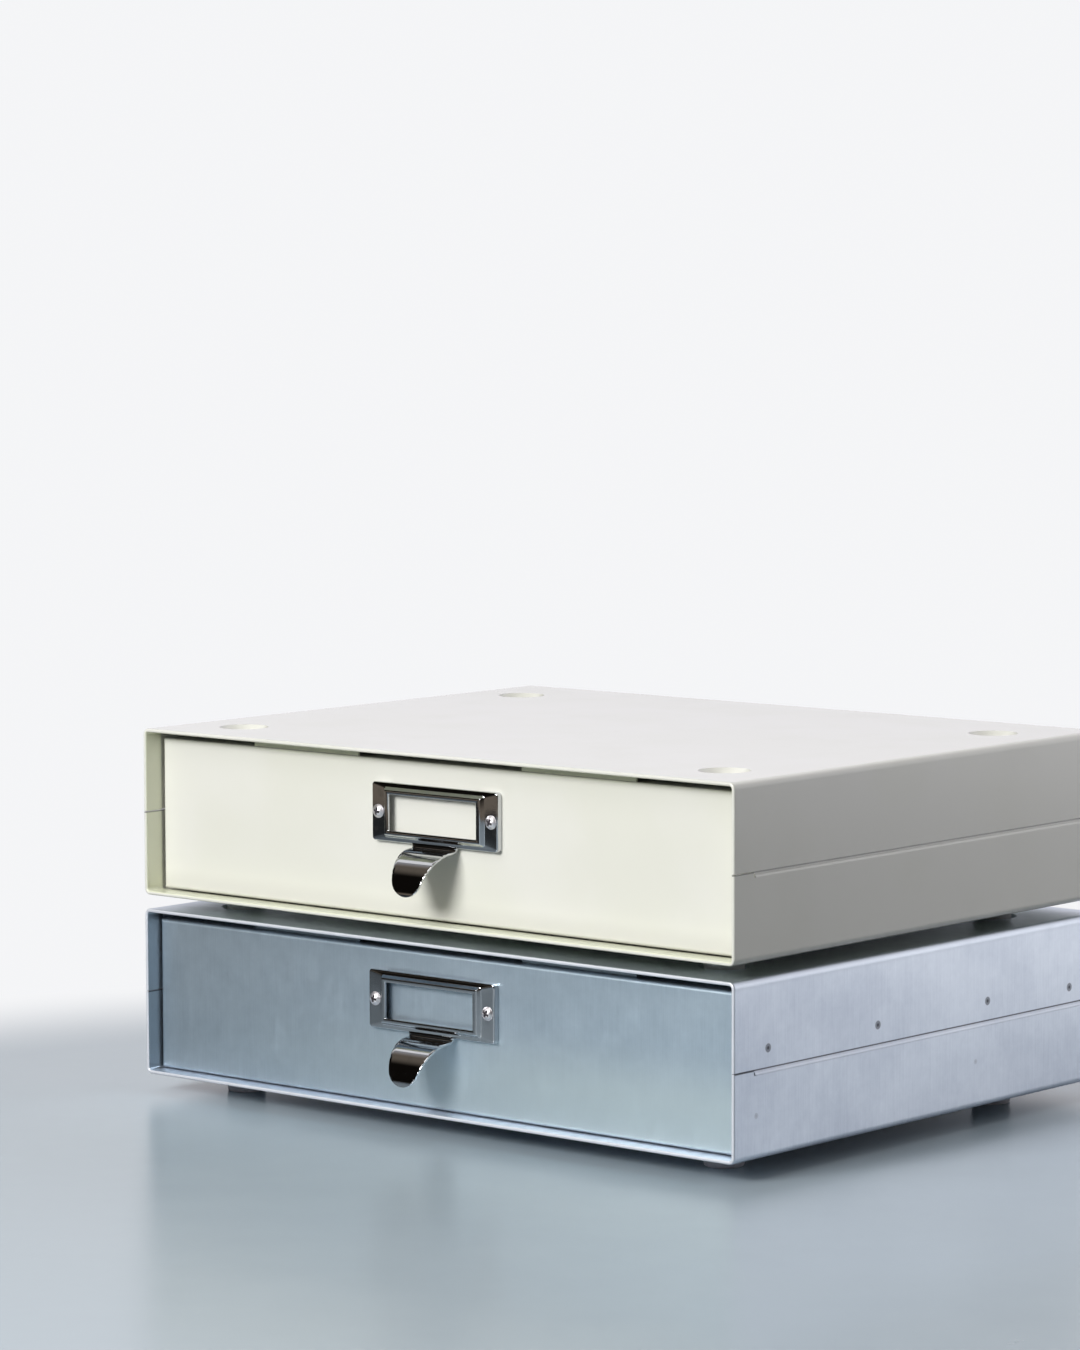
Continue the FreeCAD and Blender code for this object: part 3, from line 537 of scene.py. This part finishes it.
class DRAWERS_PG_colours(bpy.types.PropertyGroup):
    enamel: colour("Enamel", "Powder coat of the upper drawer", (0.86, 0.855, 0.785))
    # Painted shade: a greener tone stands for shade just inside a case's mouth.
    enamel_mouth_shade: colour("Thin enamel", "Greener coat just inside a case's mouth",
                        (0.83, 0.85, 0.66))
    enamel_shade: colour("Enamel shade", "Deeper tone in the powder coat", (0.82, 0.82, 0.725))
    zinc_case: colour("Zinc case", "Bare zinc coat of the lower case", (0.86, 0.915, 1.0))
    zinc_case_shade: colour("Zinc case shade", "Darker tone in that coat", (0.59, 0.645, 0.75))
    zinc_drawer: colour("Zinc drawer", "Bare zinc coat of the lower drawer", (0.76, 0.885, 0.985))
    zinc_drawer_shade: colour("Zinc drawer shade", "Darker tone in that coat",
                              (0.56, 0.68, 0.775))
    chrome: colour("Chrome", "Plating of the label holders", (0.62, 0.63, 0.65))
    chrome_film: colour("Chrome film", "Thin film on the plating", (0.50, 0.52, 0.54))
    screw: colour("Screws", "Nickel plating of the screws", (0.90, 0.86, 0.88))
    screw_dull: colour("Screws, dull", "Dull patches of the nickel", (0.70, 0.66, 0.69))
    rivet: colour("Rivets and nuts", "Zinc plating of rivets and nuts", (0.60, 0.61, 0.62))
    rivet_dull: colour("Rivets and nuts, dull", "Dull patches of that zinc", (0.38, 0.39, 0.40))
    rubber: colour("Rubber", "Feet", (0.70, 0.68, 0.71))
    rubber_bloom: colour("Rubber bloom", "Dusty film on the feet", (0.58, 0.56, 0.58))
    nylon: colour("Nylon", "Glide strips", (0.72, 0.72, 0.68))
    nylon_worn: colour("Nylon, worn", "Polished tracks on the strips", (0.60, 0.60, 0.56))


class DRAWERS_PG_holder(bpy.types.PropertyGroup):
    width: length("Width", "Label holder across", 68.2)
    height: length("Height", "Label holder upright, without the pull", 24.2)
    corner: length("Corner", "Corner radius of the outline", 1.5)
    steel: length("Steel", "Thickness of the pressed sheet", 0.9)
    face: length("Face", "How far the flange stands off the drawer front", 2.7)
    edge: length("Edge", "Radius between the flange and its skirt", 0.6)
    rim_width: length("Rim width", "Raised rim across", 54.2)
    rim_height: length("Rim height", "Raised rim upright", 20.6)
    rim_rise: length("Rim rise", "How far the rim rises above the flange", 1.6)
    rim_slope: length("Rim slope", "Width of the slope from the flange up to the rim", 1.35)
    window_width: length("Window width", "Opening across", 47.6)
    window_height: length("Window height", "Opening upright", 14.9)
    slot_width: length("Card slot", "Slot in the upper skirt that takes the card", 50.0)
    reach: length("Pull reach", "How far the finger pull stands off the drawer front", 20.6)
    drop: length("Pull drop", "How far the pull hangs below the holder", 18.9)
    tip: length("Pull tip", "Radius of the pull's round tip", 8.0)
    taper: in_degrees("Pull taper", "Slope of the pull's sides from upright", 18.3)
    root: length("Root bend", "Bend between the flange and the pull", 1.0)
    neck: length("Neck", "Straight part above the root bend", 0.5)


class DRAWERS_PG_fixings(bpy.types.PropertyGroup):
    spacing: length("Screw spacing", "Between the two screws of a label holder", 61.2)
    head: length("Head", "Diameter of a screw head", 5.7)
    rise: length("Head height", "Height of a screw head's dome", 1.6)
    cross: length("Cross", "Length of the cross recess", 3.2)
    cross_width: length("Cross width", "Width of an arm of the recess", 0.95)
    cross_depth: length("Cross depth", "Depth of the recess", 1.1)
    shank: length("Shank", "Diameter over the thread", 2.9)
    pitch: length("Pitch", "Distance between turns of the thread", 0.5)
    flats: length("Nut", "Nut across its flats", 5.5)
    nut_height: length("Nut height", "Height of a nut", 2.4)
    nut_bore: length("Nut bore", "Bore of a nut", 3.0)


class DRAWERS_PG_feet(bpy.types.PropertyGroup):
    diameter: length("Foot", "Diameter of a rubber foot", 16.4)
    height: length("Foot height", "Height of a rubber foot", 8.0)
    edge: length("Foot edge", "Radius of its lower edge", 0.8)
    recess: length("Recess", "Diameter of the recess for the rivet", 9.0)
    recess_depth: length("Recess depth", "Depth of that recess", 3.6)
    rivet_shank: length("Rivet shank", "Diameter of a rivet's shank", 3.2)
    rivet_head: length("Rivet head", "Diameter of a rivet's head", 6.6)
    rivet_head_height: length("Rivet head height", "Height of a rivet's head", 1.4)
    rivet_tail: length("Rivet tail", "Diameter of the rolled tail", 5.0)
    rivet_tail_height: length("Rivet tail height", "Height of the rolled tail", 1.2)
    steel: length("Case steel", "Sheet that a rivet goes through", 0.8)


class DRAWERS_PG_studio(bpy.types.PropertyGroup):
    heading: in_degrees("Heading", "Turn of the camera about the upright axis", 40.747)
    dip: in_degrees("Dip", "How far the camera looks below level", 5.283)
    roll: in_degrees("Roll", "Turn of the camera about its own axis", -0.155)
    eye: bpy.props.FloatVectorProperty(
        name="Eye", description="Place of the camera", default=(1.29739, -1.55101, 0.36655),
        size=3, unit="LENGTH", subtype="TRANSLATION")
    lens: bpy.props.FloatProperty(
        name="Lens", description="Focal length in millimetres", default=128.772, min=1.0)
    floor: colour("Floor", "Pale floor near the stack", (0.40, 0.475, 0.52))
    floor_radius: length("Floor radius", "Radius of the floor", 1200)
    key: brightness("Key lamp", "Large lamp in front, in watts", 29.7)
    sky: brightness("Sky lamp", "Broad lamp above the front, in watts", 8.2)
    side: brightness("Side lamp", "Tall narrow lamp at the left, in watts", 0.85)
    wall: brightness("Wall lamp", "Small low lamp at the right rear, in watts", 0.29)
    fill: brightness("Fill", "Strength of the even light from all round", 0.01)


# --- pieces -----------------------------------------------
class DRAWERS_OT_sheet_metal(bpy.types.Operator):
    """Finish the folded sheets of both cases and drawers"""
    bl_idname = "drawers.sheet_metal"
    bl_label = "Folded sheets"

    def execute(self, context):
        colours = context.scene.drawers_colours
        coat = {group: enamel(f"enamel_{group}", colours, group == "case") for group in SHEETS}
        bare = {
            "case": zinc("zinc_case", colours.zinc_case, colours.zinc_case_shade,
                         (40, 1, 40), cased=True),
            "drawer": zinc("zinc_drawer", colours.zinc_drawer, colours.zinc_drawer_shade,
                           (1, 40, 40), cased=False),
        }
        for group, names in SHEETS.items():
            for name in names:
                wear(f"upper_{name}", coat[group])
                wear(f"lower_{name}", bare[group])
        return {"FINISHED"}


def wear(node, material):
    """Give a CAD piece its finish."""
    piece = frame["nodes"][node]
    for index in range(len(piece.material_slots)):
        piece.material_slots[index].material = material


class DRAWERS_OT_glide_strips(bpy.types.Operator):
    """Finish the plastic strips that the drawers slide on"""
    bl_idname = "drawers.glide_strips"
    bl_label = "Glide strips"

    def execute(self, context):
        stuff = nylon(context.scene.drawers_colours)
        for tier in TIERS:
            for side in ("left", "right"):
                wear(f"{tier}_glide_strip_{side}", stuff)
        return {"FINISHED"}


def rounded_ring(half_width, half_height, corner, depth, steps=6):
    """Points of a rounded rectangle that stands depth off the plane of the drawer front."""
    points = []
    for quarter, (side, end) in enumerate(((1, 1), (-1, 1), (-1, -1), (1, -1))):
        centre = (side * (half_width - corner), end * (half_height - corner))
        for x, z in corner_arc(centre, corner, 90 * quarter, 90 * quarter + 90, steps):
            points.append(Vector((x, -depth, z)))
    return points


def holder_frame(sizes):
    """The pressed frame: skirt, flange, raised rim and window, hollow behind."""
    wide, high = sizes.width / 2, sizes.height / 2
    rim = (sizes.rim_width / 2, sizes.rim_height / 2)
    window = (sizes.window_width / 2, sizes.window_height / 2)
    face, steel, corner = sizes.face, sizes.steel, sizes.corner
    top = face + sizes.rim_rise
    blunt = 0.15 * MM
    rings = []

    def ring(inset, depth, half=(wide, high), radius=corner):
        rings.append(rounded_ring(half[0] - inset, half[1] - inset,
                                  max(radius - inset, blunt), depth))

    hollow = face - steel
    ring(blunt, 0)
    ring(0, blunt)
    for step in range(6):
        angle = math.pi / 2 * step / 5
        ring(sizes.edge * (1 - math.cos(angle)), face - sizes.edge * (1 - math.sin(angle)))
    foot = 0.25 * MM
    rim_corner = 1.2 * MM
    ring(-foot, face, rim, rim_corner)
    ring(-foot * 0.4, face + foot * 0.15, rim, rim_corner)
    start, rise = foot * 0.3, sizes.rim_rise - foot * 1.2
    for share in (0, 0.12, 0.88, 1):
        ring(start + (sizes.rim_slope - foot - start) * share, face + foot * 0.6 + rise * share,
             rim, rim_corner)
    ring(sizes.rim_slope - foot * 0.2, top - foot * 0.1, rim, rim_corner)
    ring(sizes.rim_slope + foot * 0.6, top, rim, rim_corner)
    lip = 0.3 * MM
    window_corner = 0.4 * MM
    for step in range(4):
        angle = math.pi / 2 * step / 3
        ring(-lip * (1 - math.sin(angle)), top - lip * (1 - math.cos(angle)), window, window_corner)
    ring(0, top - steel, window, window_corner)
    ring(steel, top - steel, rim, rim_corner)
    ring(steel, hollow, rim, rim_corner)
    ring(steel, hollow)
    ring(steel, 0)
    return loft(rings, across=True)


def cut_holder(piece, sizes, screw_spacing, bore):
    """Cut the card slot and the two screw holes."""
    cutter = bmesh.new()
    low = sizes.rim_height / 2 - sizes.steel
    high = sizes.height / 2 + 2 * MM
    deep = sizes.face - sizes.steel
    slot = bmesh.ops.create_cube(cutter, size=1)["verts"]
    for vert in slot:
        vert.co = Vector((vert.co.x * sizes.slot_width, -deep if vert.co.y < 0 else 1 * MM,
                          low if vert.co.z < 0 else high))
    for side in (-1, 1):
        bmesh.ops.create_cone(
            cutter, cap_ends=True, segments=32, radius1=bore / 2, radius2=bore / 2, depth=12 * MM,
            matrix=Matrix.Translation((side * screw_spacing / 2, 0, 0)) @ Matrix.Rotation(
                math.pi / 2, 4, "X"))
    tool = piece_from("holder_cutter", cutter)
    cut = piece.modifiers.new("cut", "BOOLEAN")
    cut.operation = "DIFFERENCE"
    cut.solver = "EXACT"
    cut.object = tool
    settle(piece)
    bpy.data.objects.remove(tool)


def finger_pull(sizes):
    """The curved tongue below the frame: out in a root bend, down in a quarter circle."""
    low = -sizes.height / 2
    crest = low - sizes.neck - sizes.root
    sweep = sizes.reach - sizes.face - sizes.root
    centre = (sizes.face + sizes.root, crest - sweep)
    end = low - sizes.drop
    tip_middle = end + sizes.tip
    tangent = tip_middle - sizes.tip * math.sin(sizes.taper)

    def half_width(height):
        if height >= tangent:
            return (sizes.tip * math.cos(sizes.taper)
                    + (min(height, low) - tangent) * math.tan(sizes.taper))
        return math.sqrt(max(sizes.tip ** 2 - (height - tip_middle) ** 2, (0.3 * MM) ** 2))

    path = [(sizes.face, low + 0.5 * MM, 1, 0), (sizes.face, low - sizes.neck, 1, 0)]
    for step in range(1, 7):
        angle = math.pi / 2 * step / 6
        path.append((sizes.face + sizes.root * (1 - math.cos(angle)),
                     low - sizes.neck - sizes.root * math.sin(angle),
                     math.cos(angle), math.sin(angle)))
    heights = [centre[1] + sweep * math.cos(math.radians(step * 3)) for step in range(1, 31)]
    heights = [height for height in heights if height > tangent]
    start = math.degrees(sizes.taper)
    for step in range(25):
        angle = math.radians(start + (89 - start) * step / 24)
        heights.append(tip_middle - sizes.tip * math.sin(angle))
    for height in heights:
        rise = max(height - centre[1], 0) / sweep
        run = math.sqrt(1 - rise * rise)
        path.append((centre[0] + sweep * run, height, run, rise))
    columns = 16
    rings = []
    for depth, height, out, up in path:
        ring = []
        for layer, shift in ((1, 0), (-1, sizes.steel)):
            there = height - shift * up
            half = half_width(there)
            for column in range(columns + 1):
                across = layer * (2 * column / columns - 1)
                ring.append(Vector((half * across, -(depth - shift * out), there)))
        rings.append(ring)
    return loft(rings)


class DRAWERS_OT_label_holders(bpy.types.Operator):
    """Press the label holders, each with its window, card slot and finger pull"""
    bl_idname = "drawers.label_holders"
    bl_label = "Label holders"

    def execute(self, context):
        sizes = context.scene.drawers_holder
        fixings = context.scene.drawers_fixings
        metal = chrome(context.scene.drawers_colours)
        for tier in TIERS:
            _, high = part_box(f"{tier}_label_holder")
            place = Matrix.Translation((0, high.y, high.z - sizes.height / 2))
            piece = piece_from(f"{tier}_label_frame", holder_frame(sizes))
            cut_holder(piece, sizes, fixings.spacing, fixings.shank + 0.3 * MM)
            pull = piece_from(f"{tier}_pull", finger_pull(sizes))
            rounding = pull.modifiers.new("edges", "BEVEL")
            rounding.width = 0.22 * MM
            rounding.segments = 3
            rounding.limit_method = "ANGLE"
            rounding.angle_limit = math.radians(50)
            settle(pull)
            both = bmesh.new()
            both.from_mesh(piece.data)
            both.from_mesh(pull.data)
            both.transform(place)
            bpy.data.objects.remove(pull)
            bpy.data.objects.remove(piece)
            piece = piece_from(f"{tier}_pressed_label_holder", both, crease=40)
            piece.data.materials.append(metal)
            finish_piece(piece, f"{tier}_drawer", "label_chrome", f"{tier}_label_holder")
        return {"FINISHED"}


def dome_height(sizes, x, z):
    """Height of a screw head's dome over its seat, without the recess."""
    dome = ((sizes.head / 2) ** 2 + sizes.rise ** 2) / (2 * sizes.rise)
    return math.sqrt(max(dome ** 2 - x * x - z * z, 0)) - (dome - sizes.rise)


def screw_mesh(sizes, shank_length):
    """A domed cross-recess screw along Y: its head seats at 0 and looks towards -Y."""
    head = sizes.head / 2
    arm, web = sizes.cross / 2, sizes.cross_width / 2
    slope, thread, point = 0.16 * MM, 0.14 * MM, 0.5 * MM

    def face_height(x, z):
        from_arm = min(max(abs(x) - arm, abs(z) - web), max(abs(z) - arm, abs(x) - web))
        share = min(max(-from_arm / slope, 0), 1)
        steep = 1 - 0.55 * min(math.hypot(x, z) / arm, 1)
        sunk = sizes.cross_depth * steep * share * share * (3 - 2 * share)
        return dome_height(sizes, x, z) - sunk

    def circle(radius, height):
        return [Vector((radius * math.cos(2 * math.pi * n / SIDES), -height,
                        radius * math.sin(2 * math.pi * n / SIDES))) for n in range(SIDES)]

    rings = []
    rows = int(shank_length / sizes.pitch * 8)
    for row in range(rows + 1):
        along = -shank_length + shank_length * row / rows
        ring = []
        for n in range(SIDES):
            phase = (along / sizes.pitch - n / SIDES) % 1.0
            cut = thread * abs(2 * phase - 1)
            end = min(1, (along + shank_length) / point + 0.55)
            radius = (sizes.shank / 2 - cut) * end
            angle = 2 * math.pi * n / SIDES
            ring.append(Vector((radius * math.cos(angle), -along, radius * math.sin(angle))))
        rings.append(ring)
    rim = 0.22 * MM
    rings += [circle(head - 0.12 * MM, 0), circle(head, 0.1 * MM), circle(head, rim)]
    steps = 34
    for step in range(1, steps):
        radius = head * (1 - step / steps)
        rings.append([Vector((p.x, -max(face_height(p.x, p.z), rim if step < 3 else -1), p.z))
                      for p in circle(radius, 0)])
    return loft(rings)


def mark_recess(piece, sizes):
    """Store how deep each point of a screw head lies in its cross, for the shade painted in the
    recess.
    """
    depth = piece.data.attributes.new("recess", "FLOAT", "POINT")
    for vert, share in zip(piece.data.vertices, depth.data):
        x, y, z = vert.co
        near_cross = math.hypot(x, z) < sizes.cross * 0.6 and y < 0
        below = dome_height(sizes, x, z) + y if near_cross else 0
        share.value = min(max(below / (0.35 * MM), 0), 1)


def nut_mesh(sizes):
    """A hexagon nut along Y with chamfered corners and a countersunk bore; its seat is at 0."""
    flat = sizes.flats / 2
    across = flat / math.cos(math.pi / 6)

    def ring(depth, limit, bore=None):
        points = []
        for n in range(SIDES):
            angle = 2 * math.pi * n / SIDES
            if bore is None:
                off = (angle + math.pi / 6) % (math.pi / 3) - math.pi / 6
                radius = min(flat / math.cos(off), limit)
            else:
                radius = bore
            points.append(Vector((radius * math.cos(angle), depth, radius * math.sin(angle))))
        return points

    high, bore = sizes.nut_height, sizes.nut_bore / 2
    sink, chamfer, face = 0.25 * MM, 0.4 * MM, flat * 0.98
    rings = [ring(0, 0, bore + sink), ring(0, face)]
    for step in range(5):
        rings.append(ring(chamfer * step / 4, face + (across - face) * step / 4))
    for step in range(5):
        rings.append(ring(high - chamfer * (4 - step) / 4, across + (face - across) * step / 4))
    rings += [ring(high, 0, bore + sink), ring(high - sink, 0, bore), ring(sink, 0, bore)]
    return loft(rings, across=True)


class DRAWERS_OT_label_fixings(bpy.types.Operator):
    """Fit two cross-recess screws and two nuts to each label holder"""
    bl_idname = "drawers.label_fixings"
    bl_label = "Screws and nuts"

    def execute(self, context):
        sizes = context.scene.drawers_fixings
        colours = context.scene.drawers_colours
        bright = plated("screw_steel", colours.screw, colours.screw_dull, 0.34)
        dull = plated("nut_steel", colours.rivet, colours.rivet_dull, 0.30)
        rows = set_out_pattern()
        for tier in TIERS:
            for name, finish in (("label_screws", bright), ("label_nuts", dull)):
                low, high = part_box(f"{tier}_{name}")
                screws = name == "label_screws"
                seat = low.y + sizes.rise if screws else low.y
                made = screw_mesh(sizes, high.y - seat) if screws else nut_mesh(sizes)
                piece = piece_from(f"{tier}_threaded_{name}", made, crease=28)
                if screws:
                    mark_recess(piece, sizes)
                rows.apply(piece, Columns=2, Rows=1, Width=sizes.spacing, Depth=0.0,
                           Middle=(0, seat, (low.z + high.z) / 2), Axis=(0, 1, 0), Turn=0.5,
                           Finish=finish)
                finish_piece(piece, f"{tier}_drawer", "screw_steel", f"{tier}_{name}")
        return {"FINISHED"}


def foot_profile(sizes):
    """Section of a moulded foot, from its bore down, out and up again."""
    outer, bore, recess = sizes.diameter / 2, sizes.rivet_shank / 2 + 0.1 * MM, sizes.recess / 2
    high, edge = sizes.height, sizes.edge
    draft = 0.12 * MM
    line, bead, spread = high * 0.55, 0.05 * MM, 0.12 * MM
    soft, lip, groove = 0.3 * MM, 0.25 * MM, 0.45 * MM
    points = [(bore, high), (bore, sizes.recess_depth)]
    points += corner_arc((recess - soft, sizes.recess_depth - soft), soft, 90, 0, 3)
    points += corner_arc((recess + lip, lip), lip, 180, 270, 3)
    middle = (recess + outer - edge) / 2
    points += corner_arc((middle, 0), groove, 180, 0, 6)
    points += corner_arc((outer - draft - edge, edge), edge, 270, 360, 6)
    points += [(outer - bead, line - spread), (outer, line - bead),
               (outer, line + bead), (outer - bead, line + spread)]
    points += corner_arc((outer - draft - soft, high - soft), soft, 0, 90, 4)
    return points + points[:1]


def rivet_profile(sizes):
    """Section of a semi-tubular rivet, from its head below to its rolled tail above."""
    shank, head, tail = sizes.rivet_shank / 2, sizes.rivet_head / 2, sizes.rivet_tail / 2
    seat = sizes.recess_depth
    low, half = seat - sizes.rivet_head_height, sizes.rivet_head_height / 2
    roll = sizes.rivet_tail_height / 2
    collar = sizes.height + sizes.steel
    blunt, hollow, point = 0.1 * MM, 1.2 * MM, 1.6 * MM
    points = [(0, low)]
    points += corner_arc((head - half, low + half), half, 270, 360, 6)
    points += [(head, seat - blunt), (head - blunt, seat), (shank, seat), (shank, collar)]
    points += [(tail - roll, collar)]
    points += corner_arc((tail - roll, collar + roll), roll, 270, 450, 10)[1:]
    points += corner_arc((tail - 2 * roll, collar + roll), roll, 90, 180, 5)[1:]
    bore = points[-1][0]
    return points + [(bore, collar - hollow), (0, collar - point)]


class DRAWERS_OT_feet(bpy.types.Operator):
    """Stand each case on four moulded rubber feet, held by rivets"""
    bl_idname = "drawers.feet"
    bl_label = "Feet and rivets"

    def execute(self, context):
        sizes = context.scene.drawers_feet
        colours = context.scene.drawers_colours
        skin = rubber(colours)
        steel = plated("rivet_steel", colours.rivet, colours.rivet_dull, 0.28)
        corners = ("front_left", "front_right", "rear_left", "rear_right")
        rows = set_out_pattern()
        for tier in TIERS:
            feet = [f"{tier}_foot_{corner}" for corner in corners]
            boxes = [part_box(foot) for foot in feet]
            low = Vector(min(corner[axis] for corner, _ in boxes) for axis in range(3))
            high = Vector(max(corner[axis] for _, corner in boxes) for axis in range(3))
            middle = ((low.x + high.x) / 2, (low.y + high.y) / 2, low.z)
            spread = {"Width": high.x - low.x - sizes.diameter,
                      "Depth": high.y - low.y - sizes.diameter, "Middle": middle}
            for name, profile, finish, slot, stands_for in (
                    ("moulded_feet", foot_profile(sizes), skin, "grey_rubber", feet),
                    ("rolled_rivets", rivet_profile(sizes), steel, "rivet_steel",
                     [f"{tier}_foot_rivets"])):
                piece = piece_from(f"{tier}_{name}", turned(profile, 64), crease=50)
                rows.apply(piece, Columns=2, Rows=2, Axis=(0, 0, 1), Turn=6.0, Finish=finish,
                           **spread)
                finish_piece(piece, f"{tier}_case", slot, *stands_for)
        return {"FINISHED"}


# --- studio -----------------------------------------------
FRONTS_FACE = (-0.652, -0.752)  # the way across the floor that the fronts' reflections look
POOL_CENTRE = (163, -189)  # the pale floor ends in a circle round this place, in millimetres
POOL_EDGE = (440, 600)


def floor_finish(shade):
    """Pale glossy floor that fades to white away from the stack.

    Bounced light sees it dark. Reflections see it dark at the left and far in front.
    """
    ground = Finish("pale_floor")
    cloud = ground.grain(70, 4)
    seen = ground.ray("Camera")
    mirrored = ground.ray("Glossy")
    ahead = ground.x * FRONTS_FACE[0] + ground.y * FRONTS_FACE[1]
    dim = 1 - seen - mirrored * (1 - ground.band(ground.x * -1, -50, 450))
    beyond = mirrored * ground.band(ahead, 750, 1000)
    base = ground.mix(cloud * 0.12, opaque(shade), FLOOR_CLOUD)
    base = ground.mix(dim * 0.75 + beyond * 0.2, base, (0, 0, 0, 1))
    stone = ground.node("ShaderNodeBsdfPrincipled", None, {
        "Base Color": base, "Roughness": 0.2 + cloud * 0.1, "Specular IOR Level": 0.5})
    over, back = ground.x - POOL_CENTRE[0], ground.y - POOL_CENTRE[1]
    far = ground.band((over * over + back * back) ** 0.5, *POOL_EDGE)
    whiten = far * (seen + mirrored * (1 - ground.band(ahead, -350, -200)))
    white = ground.node("ShaderNodeEmission", None, {"Color": BACKDROP})
    return ground.close(ground.node("ShaderNodeMixShader", None, {0: whiten, 1: stone, 2: white}))


def surround(scene, fill):
    """A white background, and light that is bright behind and dim above, below and in front.

    Reflections see no light in front, and the ceiling there is dimmer and warm.
    """
    scene.world = bpy.data.worlds.new("studio")
    scene.world.use_nodes = True
    tree = Tree(scene.world.node_tree)
    tree.tree.nodes.clear()
    way = tree.node("ShaderNodeTexCoord", output="Generated")
    y, z = tree.axes(way, (1, 2))
    back = tree.band(y, 0.42, 0.70)
    ceiling = tree.band(z, 0.52, 0.68)
    below = 1 - tree.band(z, -0.08, 0.0)
    front = tree.band(y * -1, 0.2, 0.7)
    mirrored = tree.ray("Glossy")
    soft = (ceiling * 0.18 + front * 0.16) * (1 - mirrored)
    nearer = tree.band(y * -1, 0.05, 0.25)
    overhead = ceiling * mirrored * (0.33 - nearer * 0.2)
    light = tree.node("ShaderNodeBackground", None, {
        "Color": tree.mix(mirrored * nearer, (0.97, 0.955, 1.0, 1), (1.0, 0.83, 0.66, 1)),
        "Strength": fill * (1 - mirrored * 0.5) + back * 0.95 + overhead + soft + below * 0.16})
    white = tree.node("ShaderNodeBackground", None, {"Color": BACKDROP, "Strength": 1.0})
    seen = tree.ray("Camera")
    mixed = tree.node("ShaderNodeMixShader", None, {0: seen, 1: light, 2: white})
    tree.end("ShaderNodeOutputWorld", mixed)


def lamp(name, power, width, height, place, aim):
    """A rectangular soft box that points at aim and isn't seen itself."""
    light = bpy.data.lights.new(name, "AREA")
    light.shape = "RECTANGLE"
    light.size, light.size_y = width, height
    light.energy = power
    box = bpy.data.objects.new(name, light)
    bpy.context.scene.collection.objects.link(box)
    box.location = place
    box.rotation_euler = (Vector(aim) - Vector(place)).to_track_quat("-Z", "Y").to_euler()
    box.visible_camera = False


class DRAWERS_OT_studio(bpy.types.Operator):
    """Set up the floor, the soft light and the camera"""
    bl_idname = "drawers.studio"
    bl_label = "Studio"

    def execute(self, context):
        scene = context.scene
        studio = scene.drawers_studio
        disc = bmesh.new()
        bmesh.ops.create_circle(disc, cap_ends=True, segments=128, radius=studio.floor_radius)
        floor = piece_from("floor", disc)
        floor.data.materials.append(floor_finish(studio.floor))
        surround(scene, studio.fill)
        for name, width, height, place, aim in LAMPS:
            lamp(name, getattr(studio, name), width, height, place, aim)
        camera = bpy.data.cameras.new("camera")
        camera.sensor_fit = "VERTICAL"
        camera.sensor_height = 36
        camera.lens = studio.lens
        eye = bpy.data.objects.new("camera", camera)
        scene.collection.objects.link(eye)
        turn, dip, roll = studio.heading, studio.dip, studio.roll
        ahead = Vector((-math.sin(turn) * math.cos(dip), math.cos(turn) * math.cos(dip),
                        -math.sin(dip)))
        right = Vector((math.cos(turn), math.sin(turn), 0))
        above = right.cross(ahead)
        right, above = (right * math.cos(roll) + above * math.sin(roll),
                        above * math.cos(roll) - right * math.sin(roll))
        eye.matrix_world = Matrix.Translation(studio.eye) @ Matrix(
            (right, above, -ahead)).transposed().to_4x4()
        scene.camera = eye
        scene.view_settings.view_transform = "Standard"
        return {"FINISHED"}


# --- add-on -----------------------------------------------
GROUPS = {
    "drawers_colours": DRAWERS_PG_colours,
    "drawers_holder": DRAWERS_PG_holder,
    "drawers_fixings": DRAWERS_PG_fixings,
    "drawers_feet": DRAWERS_PG_feet,
    "drawers_studio": DRAWERS_PG_studio,
}
OPERATORS = (
    DRAWERS_OT_sheet_metal, DRAWERS_OT_glide_strips, DRAWERS_OT_label_holders,
    DRAWERS_OT_label_fixings, DRAWERS_OT_feet, DRAWERS_OT_studio,
)


class DRAWERS_PT_panel(bpy.types.Panel):
    bl_idname = "DRAWERS_PT_panel"
    bl_label = "Desk drawers"
    bl_space_type = "VIEW_3D"
    bl_region_type = "UI"
    bl_category = "Drawers"

    def draw(self, context):
        for operator in OPERATORS:
            self.layout.operator(operator.bl_idname)
        for group, kind in GROUPS.items():
            box = self.layout.box()
            for name in kind.__annotations__:
                box.prop(getattr(context.scene, group), name)


def register():
    for kind in (*GROUPS.values(), *OPERATORS, DRAWERS_PT_panel):
        bpy.utils.register_class(kind)
    for group, kind in GROUPS.items():
        setattr(bpy.types.Scene, group, bpy.props.PointerProperty(type=kind))


def unregister():
    for group in GROUPS:
        delattr(bpy.types.Scene, group)
    for kind in reversed((*GROUPS.values(), *OPERATORS, DRAWERS_PT_panel)):
        bpy.utils.unregister_class(kind)


def main():
    register()
    bpy.ops.drawers.sheet_metal()
    bpy.ops.drawers.glide_strips()
    bpy.ops.drawers.label_holders()
    bpy.ops.drawers.label_fixings()
    bpy.ops.drawers.feet()
    bpy.ops.drawers.studio()


if __name__ == "__main__":
    main()
